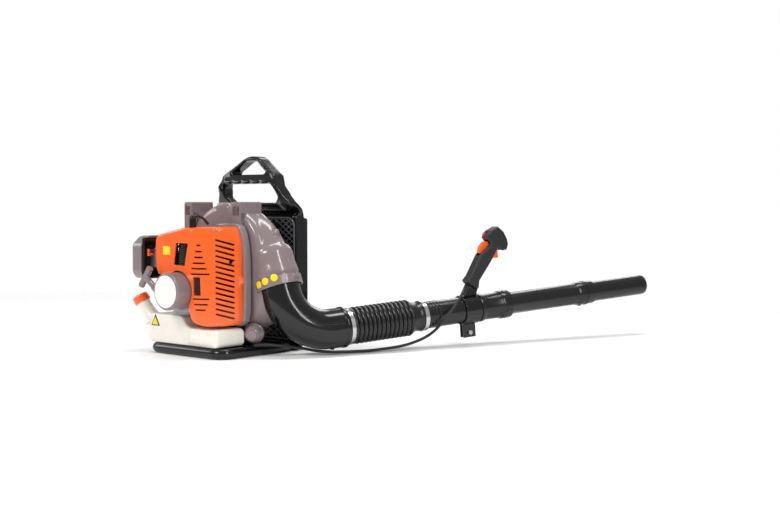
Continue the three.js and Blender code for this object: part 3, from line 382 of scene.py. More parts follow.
def bevelled(thing, width, angle=30, segments=2):
    addModifier(thing, "BEVEL", width=width * mm, segments=segments, limit_method="ANGLE",
                angle_limit=math.radians(angle), use_clamp_overlap=True)
    return settle(thing)


def cut(thing, cutter, operation="DIFFERENCE"):
    addModifier(thing, "BOOLEAN", operation=operation, object=cutter, solver="EXACT")
    settle(thing)
    bpy.data.objects.remove(cutter)
    return thing


def joinAll(name, things):
    work = bmesh.new()
    for thing in things:
        work.from_mesh(thing.data)
    mesh = bpy.data.meshes.new(name)
    work.to_mesh(mesh)
    work.free()
    for thing in things:
        bpy.data.objects.remove(thing)
    whole = bpy.data.objects.new(name, mesh)
    scene.collection.objects.link(whole)
    return whole


# A frame whose second axis runs along the way given.
def placing(origin, way, side=None):
    y = Vector(way).normalized()
    x = Vector(side) if side else (Vector((0, 0, 1)) if abs(y.z) < 0.9 else Vector((1, 0, 0))).cross(y)
    x = (x - y * x.dot(y)).normalized()
    z = x.cross(y)
    frame = Matrix((x, y, z)).transposed().to_4x4()
    frame.translation = origin
    return frame


# A turned piece: the profile's points are (radius, station along the axis), in mm.
def lathe(name, profile, frame, segments=72, closed=False, wobble=None):
    verts, faces, rings = [], [], []
    for radius, station in profile:
        if radius < 1e-6:
            rings.append([len(verts)] * segments)
            verts.append(frame @ point(0, station, 0))
            continue
        ring = []
        for i in range(segments):
            angle = 2 * math.pi * i / segments
            r = radius + (wobble(angle, station) if wobble else 0)
            ring.append(len(verts))
            verts.append(frame @ point(r * math.cos(angle), station, r * math.sin(angle)))
        rings.append(ring)
    pairs = list(zip(rings, rings[1:])) + ([(rings[-1], rings[0])] if closed else [])
    for a, b in pairs:
        for i in range(segments):
            j = (i + 1) % segments
            face = []
            for v in (a[i], a[j], b[j], b[i]):
                if v not in face:
                    face.append(v)
            if len(face) > 2:
                faces.append(face)
    return outward(newObject(name, verts, faces))


# A box with its corners in mm, seen in a frame.
def block(name, low, high, frame=Matrix()):
    xs, ys, zs = zip(low, high)
    corners = [frame @ point(x, y, z) for x in xs for y in ys for z in zs]
    faces = [(0, 1, 3, 2), (4, 6, 7, 5), (0, 4, 5, 1), (2, 3, 7, 6), (0, 2, 6, 4), (1, 5, 7, 3)]
    return outward(newObject(name, corners, faces))


# A flat outline of (x, z) in mm, given a thickness from y0 to y1.
def slab(name, outline, y0, y1, frame=Matrix()):
    n = len(outline)
    verts = [frame @ point(x, y, z) for y in (y0, y1) for x, z in outline]
    faces = [tuple(range(n)), tuple(range(2 * n - 1, n - 1, -1))]
    faces += [(i, (i + 1) % n, n + (i + 1) % n, n + i) for i in range(n)]
    return outward(newObject(name, verts, faces))


# A pill-shaped outline, long along x.
def pill(length, height, steps=5):
    half, r = length / 2 - height / 2, height / 2
    points = []
    for side, start in ((1, -90), (-1, 90)):
        for i in range(steps + 1):
            angle = math.radians(start + 180 * i / steps)
            points.append((side * half + r * math.cos(angle), r * math.sin(angle)))
    return points


# Round tube along a path; each point may have its own radius.
def tube(name, path, radii, segments=24):
    verts, faces = [], []
    path = [Vector(p) for p in path]
    side = None
    for i, at in enumerate(path):
        way = (path[min(i + 1, len(path) - 1)] - path[max(i - 1, 0)]).normalized()
        if side is None:
            side = way.orthogonal().normalized()
        side = (side - way * side.dot(way)).normalized()
        other = way.cross(side)
        r = radii[i] if isinstance(radii, (list, tuple)) else radii
        for k in range(segments):
            angle = 2 * math.pi * k / segments
            verts.append(at + (side * math.cos(angle) + other * math.sin(angle)) * r)
    for i in range(len(path) - 1):
        for k in range(segments):
            j = (k + 1) % segments
            faces.append((i * segments + k, i * segments + j, (i + 1) * segments + j, (i + 1) * segments + k))
    faces.append(tuple(range(segments)))
    faces.append(tuple(range((len(path) - 1) * segments, len(path) * segments)))
    return outward(newObject(name, verts, faces))


# Centripetal curve through points, as the frame's own cable follows it.
def smoothPath(points, perSpan=8, first=0, last=None):
    pts = [Vector(p) for p in points]
    start = pts[0] * 2 - pts[1]
    end = pts[-1] * 2 - pts[-2]
    pts = [start] + pts + [end]
    result = []
    last = len(points) - 1 if last is None else last
    for i in range(1, len(pts) - 2):
        a, b, c, d = pts[i - 1:i + 3]
        t0 = 0.0
        t1 = t0 + max((b - a).length, 1e-6) ** 0.5
        t2 = t1 + max((c - b).length, 1e-6) ** 0.5
        t3 = t2 + max((d - c).length, 1e-6) ** 0.5
        if not first <= i - 1 < last:
            continue
        for k in range(perSpan):
            t = t1 + (t2 - t1) * k / perSpan
            p = a * ((t1 - t) / (t1 - t0)) + b * ((t - t0) / (t1 - t0))
            q = b * ((t2 - t) / (t2 - t1)) + c * ((t - t1) / (t2 - t1))
            r = c * ((t3 - t) / (t3 - t2)) + d * ((t - t2) / (t3 - t2))
            u = p * ((t2 - t) / (t2 - t0)) + q * ((t - t0) / (t2 - t0))
            w = q * ((t3 - t) / (t3 - t1)) + r * ((t - t1) / (t3 - t1))
            result.append(u * ((t2 - t) / (t2 - t1)) + w * ((t - t1) / (t2 - t1)))
    result.append(Vector(points[last]))
    return result


# Runs a piece's parts into one skin and softens its edges; voxel in mm.
def melted(thing, voxel, passes):
    addModifier(thing, "REMESH", mode="VOXEL", voxel_size=voxel * mm, adaptivity=0)
    if passes:
        addModifier(thing, "SMOOTH", factor=0.5, iterations=passes)
    return settle(thing)


# The CAD solid's own shape with its moulded edges rounded off.
def roundedCopy(name, nodes, voxel, passes):
    work = bmesh.new()
    for node in nodes:
        work.from_mesh(cadNodes[node].data)
    bmesh.ops.remove_doubles(work, verts=work.verts, dist=0.002 * mm)
    mesh = bpy.data.meshes.new(name)
    work.to_mesh(mesh)
    work.free()
    thing = bpy.data.objects.new(name, mesh)
    scene.collection.objects.link(thing)
    return melted(thing, voxel, passes)


def paint(thing, material, angle=35):
    thing.data.materials.clear()
    thing.data.materials.append(material)
    thing.data.shade_smooth()
    thing.data.set_sharp_from_angle(angle=math.radians(angle))
    return thing


# Finishes a piece: its material, the body that it rides on, and the CAD nodes that it stands for.
def place(thing, look, body, nodes=(), slot=None, angle=35):
    paint(thing, finish(look) if isinstance(look, str) else look, angle)
    if body:
        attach(thing, body)
    if nodes:
        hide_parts(*nodes)
    return thing


def newTree(name, inputs):
    tree = bpy.data.node_groups.new(name, "GeometryNodeTree")
    for label, kind in inputs:
        tree.interface.new_socket(name=label, in_out="INPUT", socket_type=kind)
    tree.interface.new_socket(name="Geometry", in_out="OUTPUT", socket_type="NodeSocketGeometry")
    start = tree.nodes.new("NodeGroupInput")
    end = tree.nodes.new("NodeGroupOutput")
    return tree, start, end


# Runs a tree on a carrier and returns the result as a plain mesh. Each spot is a place and the way that
# a piece put there looks.
def grow(name, tree, values, spots=()):
    carrier = newObject(name, [spot for spot, _ in spots], [])
    if spots:
        ways = carrier.data.attributes.new("way", "FLOAT_VECTOR", "POINT")
        ways.data.foreach_set("vector", [c for _, way in spots for c in way])
    modifier = carrier.modifiers.new("grow", "NODES")
    modifier.node_group = tree
    for item in tree.interface.items_tree:
        if item.in_out == "INPUT" and item.name in values:
            modifier[item.identifier] = values[item.name]
    return settle(carrier)


# The same piece again and again along a straight line.
def rowTree():
    tree, start, end = newTree("rowOfPieces", [
        ("Geometry", "NodeSocketGeometry"), ("Piece", "NodeSocketObject"), ("Count", "NodeSocketInt"),
        ("Start", "NodeSocketVector"), ("Step", "NodeSocketVector"), ("Turn", "NodeSocketVector"),
        ("Material", "NodeSocketMaterial")])
    line = addNode(tree, "GeometryNodeMeshLine", {"mode": "OFFSET"}, {
        "Count": start.outputs["Count"], "Start Location": start.outputs["Start"], "Offset": start.outputs["Step"]})
    piece = addNode(tree, "GeometryNodeObjectInfo", None, {"Object": start.outputs["Piece"]})
    copies = addNode(tree, "GeometryNodeInstanceOnPoints", None, {
        "Points": line.outputs[0], "Instance": piece.outputs["Geometry"], "Rotation": start.outputs["Turn"]})
    real = addNode(tree, "GeometryNodeRealizeInstances", None, {0: copies.outputs[0]})
    dressed = addNode(tree, "GeometryNodeSetMaterial", None, {
        "Geometry": real.outputs[0], "Material": start.outputs["Material"]})
    tree.links.new(dressed.outputs[0], end.inputs[0])
    return tree


# One piece on each point of a carrier, its own y axis along the point's stored way.
def spotTree():
    tree, start, end = newTree("piecesOnSpots", [
        ("Geometry", "NodeSocketGeometry"), ("Piece", "NodeSocketObject"), ("Material", "NodeSocketMaterial")])
    piece = addNode(tree, "GeometryNodeObjectInfo", None, {"Object": start.outputs["Piece"]})
    way = addNode(tree, "GeometryNodeInputNamedAttribute", {"data_type": "FLOAT_VECTOR"}, {"Name": "way"})
    turn = addNode(tree, "FunctionNodeAlignEulerToVector", {"axis": "Y"}, {"Vector": way.outputs[0]})
    copies = addNode(tree, "GeometryNodeInstanceOnPoints", None, {
        "Points": start.outputs["Geometry"], "Instance": piece.outputs["Geometry"], "Rotation": turn.outputs[0]})
    real = addNode(tree, "GeometryNodeRealizeInstances", None, {0: copies.outputs[0]})
    dressed = addNode(tree, "GeometryNodeSetMaterial", None, {
        "Geometry": real.outputs[0], "Material": start.outputs["Material"]})
    tree.links.new(dressed.outputs[0], end.inputs[0])
    return tree


# The bellows: a grid wrapped into a tube whose radius swells at every rib.
def bellowsTree():
    tree, start, end = newTree("ribbedBellows", [
        ("Geometry", "NodeSocketGeometry"), ("Length", "NodeSocketFloat"), ("Radius", "NodeSocketFloat"),
        ("Depth", "NodeSocketFloat"), ("Ribs", "NodeSocketFloat"), ("Around", "NodeSocketInt"),
        ("Along", "NodeSocketInt"), ("Material", "NodeSocketMaterial")])
    grid = addNode(tree, "GeometryNodeMeshGrid", None, {
        "Size X": 1.0, "Size Y": 1.0, "Vertices X": start.outputs["Around"], "Vertices Y": start.outputs["Along"]})
    position = addNode(tree, "GeometryNodeInputPosition")
    parts = addNode(tree, "ShaderNodeSeparateXYZ", None, {0: position.outputs[0]})
    angle = addNode(tree, "ShaderNodeMath", {"operation": "MULTIPLY"}, {0: parts.outputs[0], 1: 2 * math.pi})
    share = addNode(tree, "ShaderNodeMath", {"operation": "ADD"}, {0: parts.outputs[1], 1: 0.5})
    beat = addNode(tree, "ShaderNodeMath", {"operation": "MULTIPLY"}, {0: share.outputs[0], 1: start.outputs["Ribs"]})
    phase = addNode(tree, "ShaderNodeMath", {"operation": "MULTIPLY"}, {0: beat.outputs[0], 1: math.pi})
    wave = addNode(tree, "ShaderNodeMath", {"operation": "SINE"}, {0: phase.outputs[0]})
    fold = addNode(tree, "ShaderNodeMath", {"operation": "ABSOLUTE"}, {0: wave.outputs[0]})
    rounded = addNode(tree, "ShaderNodeMath", {"operation": "POWER"}, {0: fold.outputs[0], 1: 0.7})
    swell = addNode(tree, "ShaderNodeMath", {"operation": "MULTIPLY"},
                    {0: rounded.outputs[0], 1: start.outputs["Depth"]})
    radius = addNode(tree, "ShaderNodeMath", {"operation": "ADD"}, {0: swell.outputs[0], 1: start.outputs["Radius"]})
    cosine = addNode(tree, "ShaderNodeMath", {"operation": "COSINE"}, {0: angle.outputs[0]})
    sine = addNode(tree, "ShaderNodeMath", {"operation": "SINE"}, {0: angle.outputs[0]})
    x = addNode(tree, "ShaderNodeMath", {"operation": "MULTIPLY"}, {0: cosine.outputs[0], 1: radius.outputs[0]})
    z = addNode(tree, "ShaderNodeMath", {"operation": "MULTIPLY"}, {0: sine.outputs[0], 1: radius.outputs[0]})
    y = addNode(tree, "ShaderNodeMath", {"operation": "MULTIPLY"}, {0: share.outputs[0], 1: start.outputs["Length"]})
    spot = addNode(tree, "ShaderNodeCombineXYZ", None, {0: x.outputs[0], 1: y.outputs[0], 2: z.outputs[0]})
    wrapped = addNode(tree, "GeometryNodeSetPosition", None, {"Geometry": grid.outputs[0], "Position": spot.outputs[0]})
    closed = addNode(tree, "GeometryNodeMergeByDistance", None, {"Geometry": wrapped.outputs[0], "Distance": 0.02 * mm})
    real = addNode(tree, "GeometryNodeRealizeInstances", None, {0: closed.outputs[0]})
    dressed = addNode(tree, "GeometryNodeSetMaterial", None, {
        "Geometry": real.outputs[0], "Material": start.outputs["Material"]})
    tree.links.new(dressed.outputs[0], end.inputs[0])
    return tree


rowGroup = rowTree()
spotGroup = spotTree()


# A row of copies of a piece; the piece itself is used up.
def row(name, piece, count, start, step, turn=(0, 0, 0)):
    result = grow(name, rowGroup, {"Piece": piece, "Count": count, "Start": start, "Step": step, "Turn": turn,
                                   "Material": finish("mouldedBlackPolypropylene")})
    bpy.data.objects.remove(piece)
    return result


# A pan-head screw with a cross slot, r mm in radius, its head towards +y.
def screwPiece(name, r):
    head = lathe(name, [(0, -r * 0.7), (r * 0.5, -r * 0.7), (r * 0.5, 0), (r, 0), (r, r * 0.25), (r * 0.8, r * 0.5),
                        (0, r * 0.6)], Matrix(), 20)
    for low, high in (((-r * 0.6, r * 0.25, -r * 0.12), (r * 0.6, r, r * 0.12)),
                      ((-r * 0.12, r * 0.25, -r * 0.6), (r * 0.12, r, r * 0.6))):
        cut(head, block("slotCutter", low, high))
    return head


# Where a line meets a piece's surface, and which way the surface faces there.
def touch(thing, origin, way):
    work = bmesh.new()
    work.from_mesh(thing.data)
    tree = BVHTree.FromBMesh(work)
    work.free()
    spot, normal, _, _ = tree.ray_cast(Vector(origin), Vector(way).normalized())
    if spot is None:
        return None
    if normal.dot(Vector(way)) > 0:
        normal = -normal
    return spot, normal


allSpots = {}


def addSpots(body, spots):
    allSpots.setdefault(body, []).extend(s for s in spots if s)


tubeStart = point(282.88, 163.64, 71.10)
tubeHeading, tubeRise = math.radians(22), math.radians(4.53)
tubeWay = Vector((math.sin(tubeHeading) * math.cos(tubeRise), math.cos(tubeHeading) * math.cos(tubeRise),
                  math.sin(tubeRise)))
tubeFrame = placing(tubeStart, tubeWay, (math.cos(tubeHeading), -math.sin(tubeHeading), 0))
outletMiddle = point(180, 25, 188)
outletWay = Vector((math.sin(math.radians(20)), 0, -math.cos(math.radians(20))))


cable = {
    "route": [(150, -36, 30), (166, -20, 32), (190, 22, 27), (225, 60, 20), (252, 92, 12), (279, 124, 8),
              (302, 167, 6.5), (324, 216, 6), (341, 262, 8), (359, 307, 12), (374, 346, 20), (388, 384, 33),
              (408, 400, 52), (434, 410, 84), (447, 432, 115), (448, 460, 140), (442, 486, 160), (429, 513, 172)],
    "radius": 4.0,
    "elbowClip": 5,
    "hoseClip": 11,
}


def makeCable():
    route = [Vector(p) * mm for p in cable["route"]]
    last = len(route) - 1
    stretches = [("cableLower", 0, cable["elbowClip"], "power_unit", "elbow", "throttle_cable_lower"),
                 ("cableMiddle", cable["elbowClip"], cable["hoseClip"], "elbow", "hose_end", "throttle_cable_middle"),
                 ("cableUpper", cable["hoseClip"], last, "hose_end", "control_tube", "throttle_cable_upper")]
    for name, first, end, bodyA, bodyB, node in stretches:
        path = smoothPath(route, 10, first, end)
        thing = tube(name, path, cable["radius"] * mm, 20)
        paint(thing, finish("vinylCableJacket"), 50)
        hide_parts(node)
        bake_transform(thing)


rope = {"foot": (-23.7, -180, 140.4), "way": (-0.8, 0, 0.6), "from": 4, "to": 72, "radius": 1.75}


def makeRope():
    foot, way = Vector(rope["foot"]) * mm, Vector(rope["way"])
    path = [foot + way * (rope["from"] + (rope["to"] - rope["from"]) * i / 24) * mm for i in range(25)]
    thing = tube("starterRope", path, rope["radius"] * mm, 12)
    paint(thing, braidedPolyester(), 60)
    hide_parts("starter_rope")
    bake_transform(thing)


fuelLine = {"route": [(-118, -66, 96), (-118, -66, 121), (-120, -68, 166), (-122, -78, 244), (-122, -86, 252)],
            "radius": 2.5}


def makeFuelLine():
    path = smoothPath([Vector(p) * mm for p in fuelLine["route"]], 10)
    thing = tube("fuelLine", path, fuelLine["radius"] * mm, 14)
    place(thing, "amberVinylHose", "power_unit", ["fuel_line"], angle=60)


makeCable()
makeRope()
makeFuelLine()
print("cords ready")


scroll = {
    "axisHeight": 172.0,
    "fanWall": 126.0,
    "outletRadius": 57.0,
    "middle": 25.0,
    "sweep": 300.0,
    "tongue": -60.0,
    "hub": 58.0,
    "shoulder": 13.0,
    "seamLip": 1.9,
}


# How far the horn stands out at its shoulder, in mm, at an angle swept from the tongue.
def shoulderAt(swept):
    rise = min(1, max(0, (swept - 150) / 50)) * min(1, max(0, (276 - swept) / 40))
    return scroll["shoulder"] * rise * rise * (3 - 2 * rise)


# The scroll is one horn wound round the fan, its section growing from the tongue to the outlet.
def makeScroll():
    s = scroll
    axis = Vector((0, 0, s["axisHeight"]))
    steps, around = 84, 44
    rings = []

    def section(angle, outer, depth, bulge):
        # from the front hub face, round the outside, to the back face at the intake
        turn = Vector((math.cos(math.radians(angle)), 0, math.sin(math.radians(angle))))
        ring = []
        for k in range(around + 1):
            a = math.pi * k / around
            reach = math.sin(a) ** (0.36 if a < math.pi / 2 else bulge)
            ring.append((axis + turn * (s["hub"] + (outer - s["hub"]) * reach)
                         + Vector((0, s["middle"] - depth * math.cos(a) * (1 - 0.06 * reach), 0))) * mm)
        return ring

    for i in range(steps + 1):
        swept = 8 + (360 - 8) * i / steps
        angle = s["tongue"] - swept
        grown = 2 * s["outletRadius"] * min(swept, 292) / s["sweep"]
        outer = s["fanWall"] + grown
        if swept > 292:
            outer += (4 - grown) * ((swept - 292) / 68)
        outer += shoulderAt(swept)
        rings.append(section(angle, outer, s["outletRadius"], 0.62))
    rings.append([p.copy() for p in rings[0]])
    verts = [p for ring in rings for p in ring]
    n = around + 1
    faces = []
    for i in range(len(rings) - 1):
        for k in range(around):
            faces.append((i * n + k, i * n + k + 1, (i + 1) * n + k + 1, (i + 1) * n + k))
    horn = newObject("scrollShell", verts, faces)
    outward(horn)
    # closing the middle on both faces
    work = bmesh.new()
    work.from_mesh(horn.data)
    bmesh.ops.holes_fill(work, edges=[e for e in work.edges if e.is_boundary], sides=0)
    bmesh.ops.triangulate(work, faces=[f for f in work.faces if len(f.verts) > 4])
    bmesh.ops.recalc_face_normals(work, faces=work.faces)
    work.to_mesh(horn.data)
    work.free()
    # the outlet horn, which runs down into the elbow's collar
    pipeFrame = placing(outletMiddle, outletWay)
    r = s["outletRadius"]
    pipe = lathe("outletPipe", [(0, -96), (r - 6, -96), (r, -80), (r, -2), (0, -2)], pipeFrame, 72)
    band = lathe("outletBand", [(0, -46), (r + 0.5, -46), (r + 2.5, -30), (r + 3, -20), (0, -20)],
                 pipeFrame, 72)
    saddle = bevelled(block("saddle", (2, -33, 370), (44, 2, 402)), 5, 30, 3)
    # the front of the housing rises in a dome between the brackets
    dome = lathe("frontDome", [(0, -31.5), (132, -31.5), (143, -28), (148, -18), (148, 6), (138, 24), (0, 24)],
                 placing(point(25, 0, 250), (0, 1, 0)), 96)
    seamBoss = lathe("seamBoss", [(0, -26), (13, -26), (11, 0), (9.5, 20), (0, 21)],
                     placing(point(162, 25, 322), (0.9, -0.3, 0.12)), 28)
    for extra in (pipe, band, dome, saddle, seamBoss):
        cut(horn, extra, "UNION")
    melted(horn, 2.6, 19)
    # intake hole at the back and the hollow behind it, where the fan turns
    fanAxis = placing(point(0, 0, s["axisHeight"]), (0, 1, 0))
    eye = lathe("eyeCutter", [(0, 40), (92, 40), (92, 140), (0, 140)], fanAxis, 72)
    room = lathe("roomCutter", [(0, -25), (121, -25), (121, 60), (0, 60)], fanAxis, 72)
    air = lathe("airCutter", [(0, -40), (r - 3, -40), (r - 3, 20), (0, 20)], pipeFrame, 72)
    for cutter in (eye, room, air):
        cut(horn, cutter)
    return horn


scrollShell = makeScroll()
place(scrollShell, "mouldedGreyAbs", "power_unit", ["fan_housing_front", "fan_housing_rear"], angle=40)
print("scroll ready", len(scrollShell.data.polygons))


# Raised lip where the two half shells meet.
def makeSeamLip():
    s = scroll
    axis = Vector((0, 0, s["axisHeight"]))
    path = []
    for i in range(97):
        swept = 20 + 262 * i / 96
        angle = math.radians(s["tongue"] - swept)
        radius = s["fanWall"] + 2 * s["outletRadius"] * swept / s["sweep"] + shoulderAt(swept) - 1.2
        way = Vector((math.cos(angle), 0, math.sin(angle)))
        path.append((axis + way * radius + Vector((0, s["middle"], 0))) * mm)
    lip = tube("seamLip", path, s["seamLip"] * mm, 10)
    return place(lip, "mouldedGreyAbs", "power_unit", angle=50)


makeSeamLip()


# Two plates of the anti-vibration mount, open inside, with a row of slots in the front face.
def makeBrackets():
    for node, slots in (("bracket_left", 4), ("bracket_right", 5)):
        thing = roundedCopy(node.replace("_", "Plate"), [node], 1.5, 5)
        low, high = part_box(node)
        middle = (low.x + high.x) / 2
        cutter = bevelled(block("slot", (-1.7, -6, -12), (1.7, 9, 12)), 1.0)
        pitch = 5.2 * mm
        first = (middle - pitch * (slots - 1) / 2, low.y, high.z - 24 * mm)
        cut(thing, row("slotRow", cutter, slots, first, (pitch, 0, 0)))
        sideCutter = bevelled(block("slot", (-6, -1.8, -12), (6, 1.8, 12)), 1.0)
        first = (high.x, low.y + 8 * mm, high.z - 40 * mm)
        cut(thing, row("sideSlots", sideCutter, 3, first, (0, 6.5 * mm, -1.5 * mm)))
        channel = bevelled(block("channel", (low.x / mm + 6, low.y / mm + 16, low.z / mm + 20),
                                 (high.x / mm - 6, high.y / mm - 8, high.z / mm + 20)), 3)
        cut(thing, channel)
        place(thing, "mouldedGreyAbs", "power_unit", [node], angle=40)
        addSpots("power_unit", [touch(thing, (low.x + 5 * mm, low.y - 0.05, high.z - 6 * mm), (0, 1, 0))])


makeBrackets()

foot = lathe("housingFoot", [(0, -38), (18, -36), (24, -26), (26, -10), (25.4, 2), (27, 4), (27, 8.5), (24.6, 10.5),
                             (22, 22), (18.4, 29), (14.4, 32), (13.4, 35.5), (0, 36)],
             placing(point(128, -14, 60), (0.5, -0.76, -0.1)), 48)
place(foot, "mouldedGreyAbs", "power_unit", ["housing_foot"])
for node in ("mount_rubber_left", "mount_rubber_right"):
    low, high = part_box(node)
    middle = (low + high) / 2
    half = (high.y - low.y) / 2 / mm
    profile = [(0, -half), (11.5, -half), (11.5, -half + 5), (8.5, -half * 0.4), (8.5, half * 0.4), (11.5, half - 5),
               (11.5, half), (0, half)]
    rubber = lathe(node.replace("_", ""), profile, placing(middle, (0, 1, 0)), 32)
    place(bevelled(rubber, 0.8), "mouldedRubber", "power_unit", [node])
print("housing details ready")


net = {"belly": 16.0, "half": 147.0, "low": 30.0, "high": 360.0, "corner": 22.0, "y": 116.0, "bar": 2.0,
       "bars": 42, "pitch": 13.0, "slant": 34.0}


def roundedBox(x0, z0, x1, z1, r, steps=5):
    points = []
    for cx, cz, start in ((x1 - r, z1 - r, 0), (x0 + r, z1 - r, 90), (x0 + r, z0 + r, 180), (x1 - r, z0 + r, 270)):
        for i in range(steps + 1):
            angle = math.radians(start + 90 * i / steps)
            points.append((cx + r * math.cos(angle), cz + r * math.sin(angle)))
    return points


def makeNet():
    n = net
    plate = slab("netPlate", roundedBox(-n["half"], n["low"], n["half"], n["high"], n["corner"]), -1.3, 1.3,
                 Matrix.Translation((0, n["y"] * mm, 0)))
    lattice = []
    for side in (1, -1):
        turn = math.radians(side * n["slant"])
        bar = block("bar", (-280, -1.1, -n["bar"] / 2), (280, 1.1, n["bar"] / 2))
        step = Vector((-math.sin(turn), 0, math.cos(turn))) * n["pitch"] * mm
        middle = Vector((0, (n["y"] + side * 0.35) * mm, (n["low"] + n["high"]) / 2 * mm))
        start = middle - step * (n["bars"] - 1) / 2
        lattice.append(row("barRow", bar, n["bars"], start, step, (0, -turn, 0)))
    for bars in lattice:
        addModifier(bars, "BOOLEAN", operation="INTERSECT", object=plate, solver="EXACT", use_self=True)
        settle(bars)
    bpy.data.objects.remove(plate)
    rimPath = [point(x, n["y"], z) for x, z in roundedBox(-n["half"], n["low"], n["half"], n["high"], n["corner"], 6)]
    rimPath.append(rimPath[0])
    rim = tube("netRim", rimPath, 2.4 * mm, 8)
    rest = joinAll("intakeNet", lattice + [rim])
    # the net bellies out round the housing
    for vertex in rest.data.vertices:
        x, z = vertex.co.x / mm / n["half"], (vertex.co.z / mm - 195) / 165
        vertex.co.y -= n["belly"] * mm * max(0, 1 - x ** 4) * max(0, 1 - z ** 4)
    return place(rest, "drawnPolypropyleneNet", "power_unit", ["intake_guard"])


makeNet()
print("net ready")


def makeTray():
    low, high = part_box("base_tray")
    x, y0, y1 = high.x / mm, low.y / mm, high.y / mm
    top = high.z / mm
    edge = roundedBox(-x + 13, y0 + 13, x - 13, y1 - 6, 30, 10)
    path = [point(px, py, 14) for px, py in edge]
    path.append(path[0].copy())
    # thick rolled rim round a ribbed floor
    rim = tube("trayRim", path, 13.4 * mm, 28)
    melted(rim, 2.4, 0)
    plate = slab("trayFloor", edge, 0.4, top - 4, lying)
    plate = bevelled(plate, 2)
    bar = bevelled(block("rib", (-100, -1.5, -3), (100, 1.5, 2)), 1)
    ribs = row("trayRibs", bar, 6, (0, (y0 + 30) * mm, (top - 2.4) * mm), (0, 30 * mm, 0))
    return place(joinAll("baseTray", [rim, plate, ribs]), "mouldedBlackPolypropylene", "power_unit", ["base_tray"])


makeTray()


# How the handle's legs spread and lean with height: height, spread, shift back in mm.
handleForm = [(366, 1.0, 0), (402, 1.13, -16), (436, 1.14, -8), (476, 1.09, 0), (520, 1.02, 0)]


def handleAt(z):
    for (z0, s0, y0), (z1, s1, y1) in zip(handleForm, handleForm[1:]):
        if z <= z1:
            t = max(0, (z - z0) / (z1 - z0))
            t = t * t * (3 - 2 * t)
            return s0 + (s1 - s0) * t, y0 + (y1 - y0) * t
    return handleForm[-1][1:]


def makeFrame():
    thing = roundedCopy("backFrame", ["back_frame"], 2.6, 10)
    for vertex in thing.data.vertices:
        spread, back = handleAt(vertex.co.z / mm)
        vertex.co.x *= spread
        vertex.co.y += back * mm
    for side in (1, -1):
        rail = bevelled(block("sideRail", (side * 146 - 6, 142, 26), (side * 146 + 6, 166, 360)), 5, 30, 4)
        cut(thing, rail, "UNION")
    # vertical flutes down the frame's front edge, two on each side
    for x in (137.0, 144.5):
        for side in (1, -1):
            cut(thing, bevelled(block("flute", (side * x - 1.7, 112, 50), (side * x + 1.7, 123.2, 350)), 0.6))
    melted(thing, 2.2, 9)
    return place(thing, "mouldedBlackPolypropylene", "power_unit", ["back_frame"], angle=75)


makeFrame()
print("frame ready")


cover = {
    # outline of the front, x and z, from the upper left corner round the left end
    "edge": [(-58, 322), (-84, 316), (-100, 302), (-108, 278), (-104, 250), (-95, 228), (-84, 213), (-56, 211),
             (-30, 216), (20, 216), (34, 190), (36, 150), (40, 122), (48, 100), (62, 89), (90, 83), (120, 83),
             (128, 92), (133, 122), (135, 165), (135, 250), (131, 285), (125, 312), (116, 332), (104, 339),
             (66, 339), (46, 331), (30, 337), (0, 333), (-28, 327)],
    # plan of the front, x and y, from the left end round to the right
    "plan": [(-112, -45), (-112, -138), (-105, -152), (-90, -160), (-60, -163), (34, -164), (60, -161), (82, -154),
             (100, -142), (114, -122), (123, -98), (129, -72), (131, -45)],
    "wall": 3.0,
    "voxel": 2.2,
    "passes": 22,
    "archRadius": 53.0,
    # horizontal slots: height, left end, right end
    "levelSlots": [(292, 66, 80), (276, 63, 83), (261, 60, 86), (246, 55, 90), (232, 51, 94), (218, 48, 100),
                   (154, 55, 99), (140, 59, 96), (126, 63, 91)],
    "slantSlots": 15,
    "slantPitch": 13.6,
    "slantLength": 52.0,
    "bosses": [(105, 331), (131, 198), (110, 92)],
}


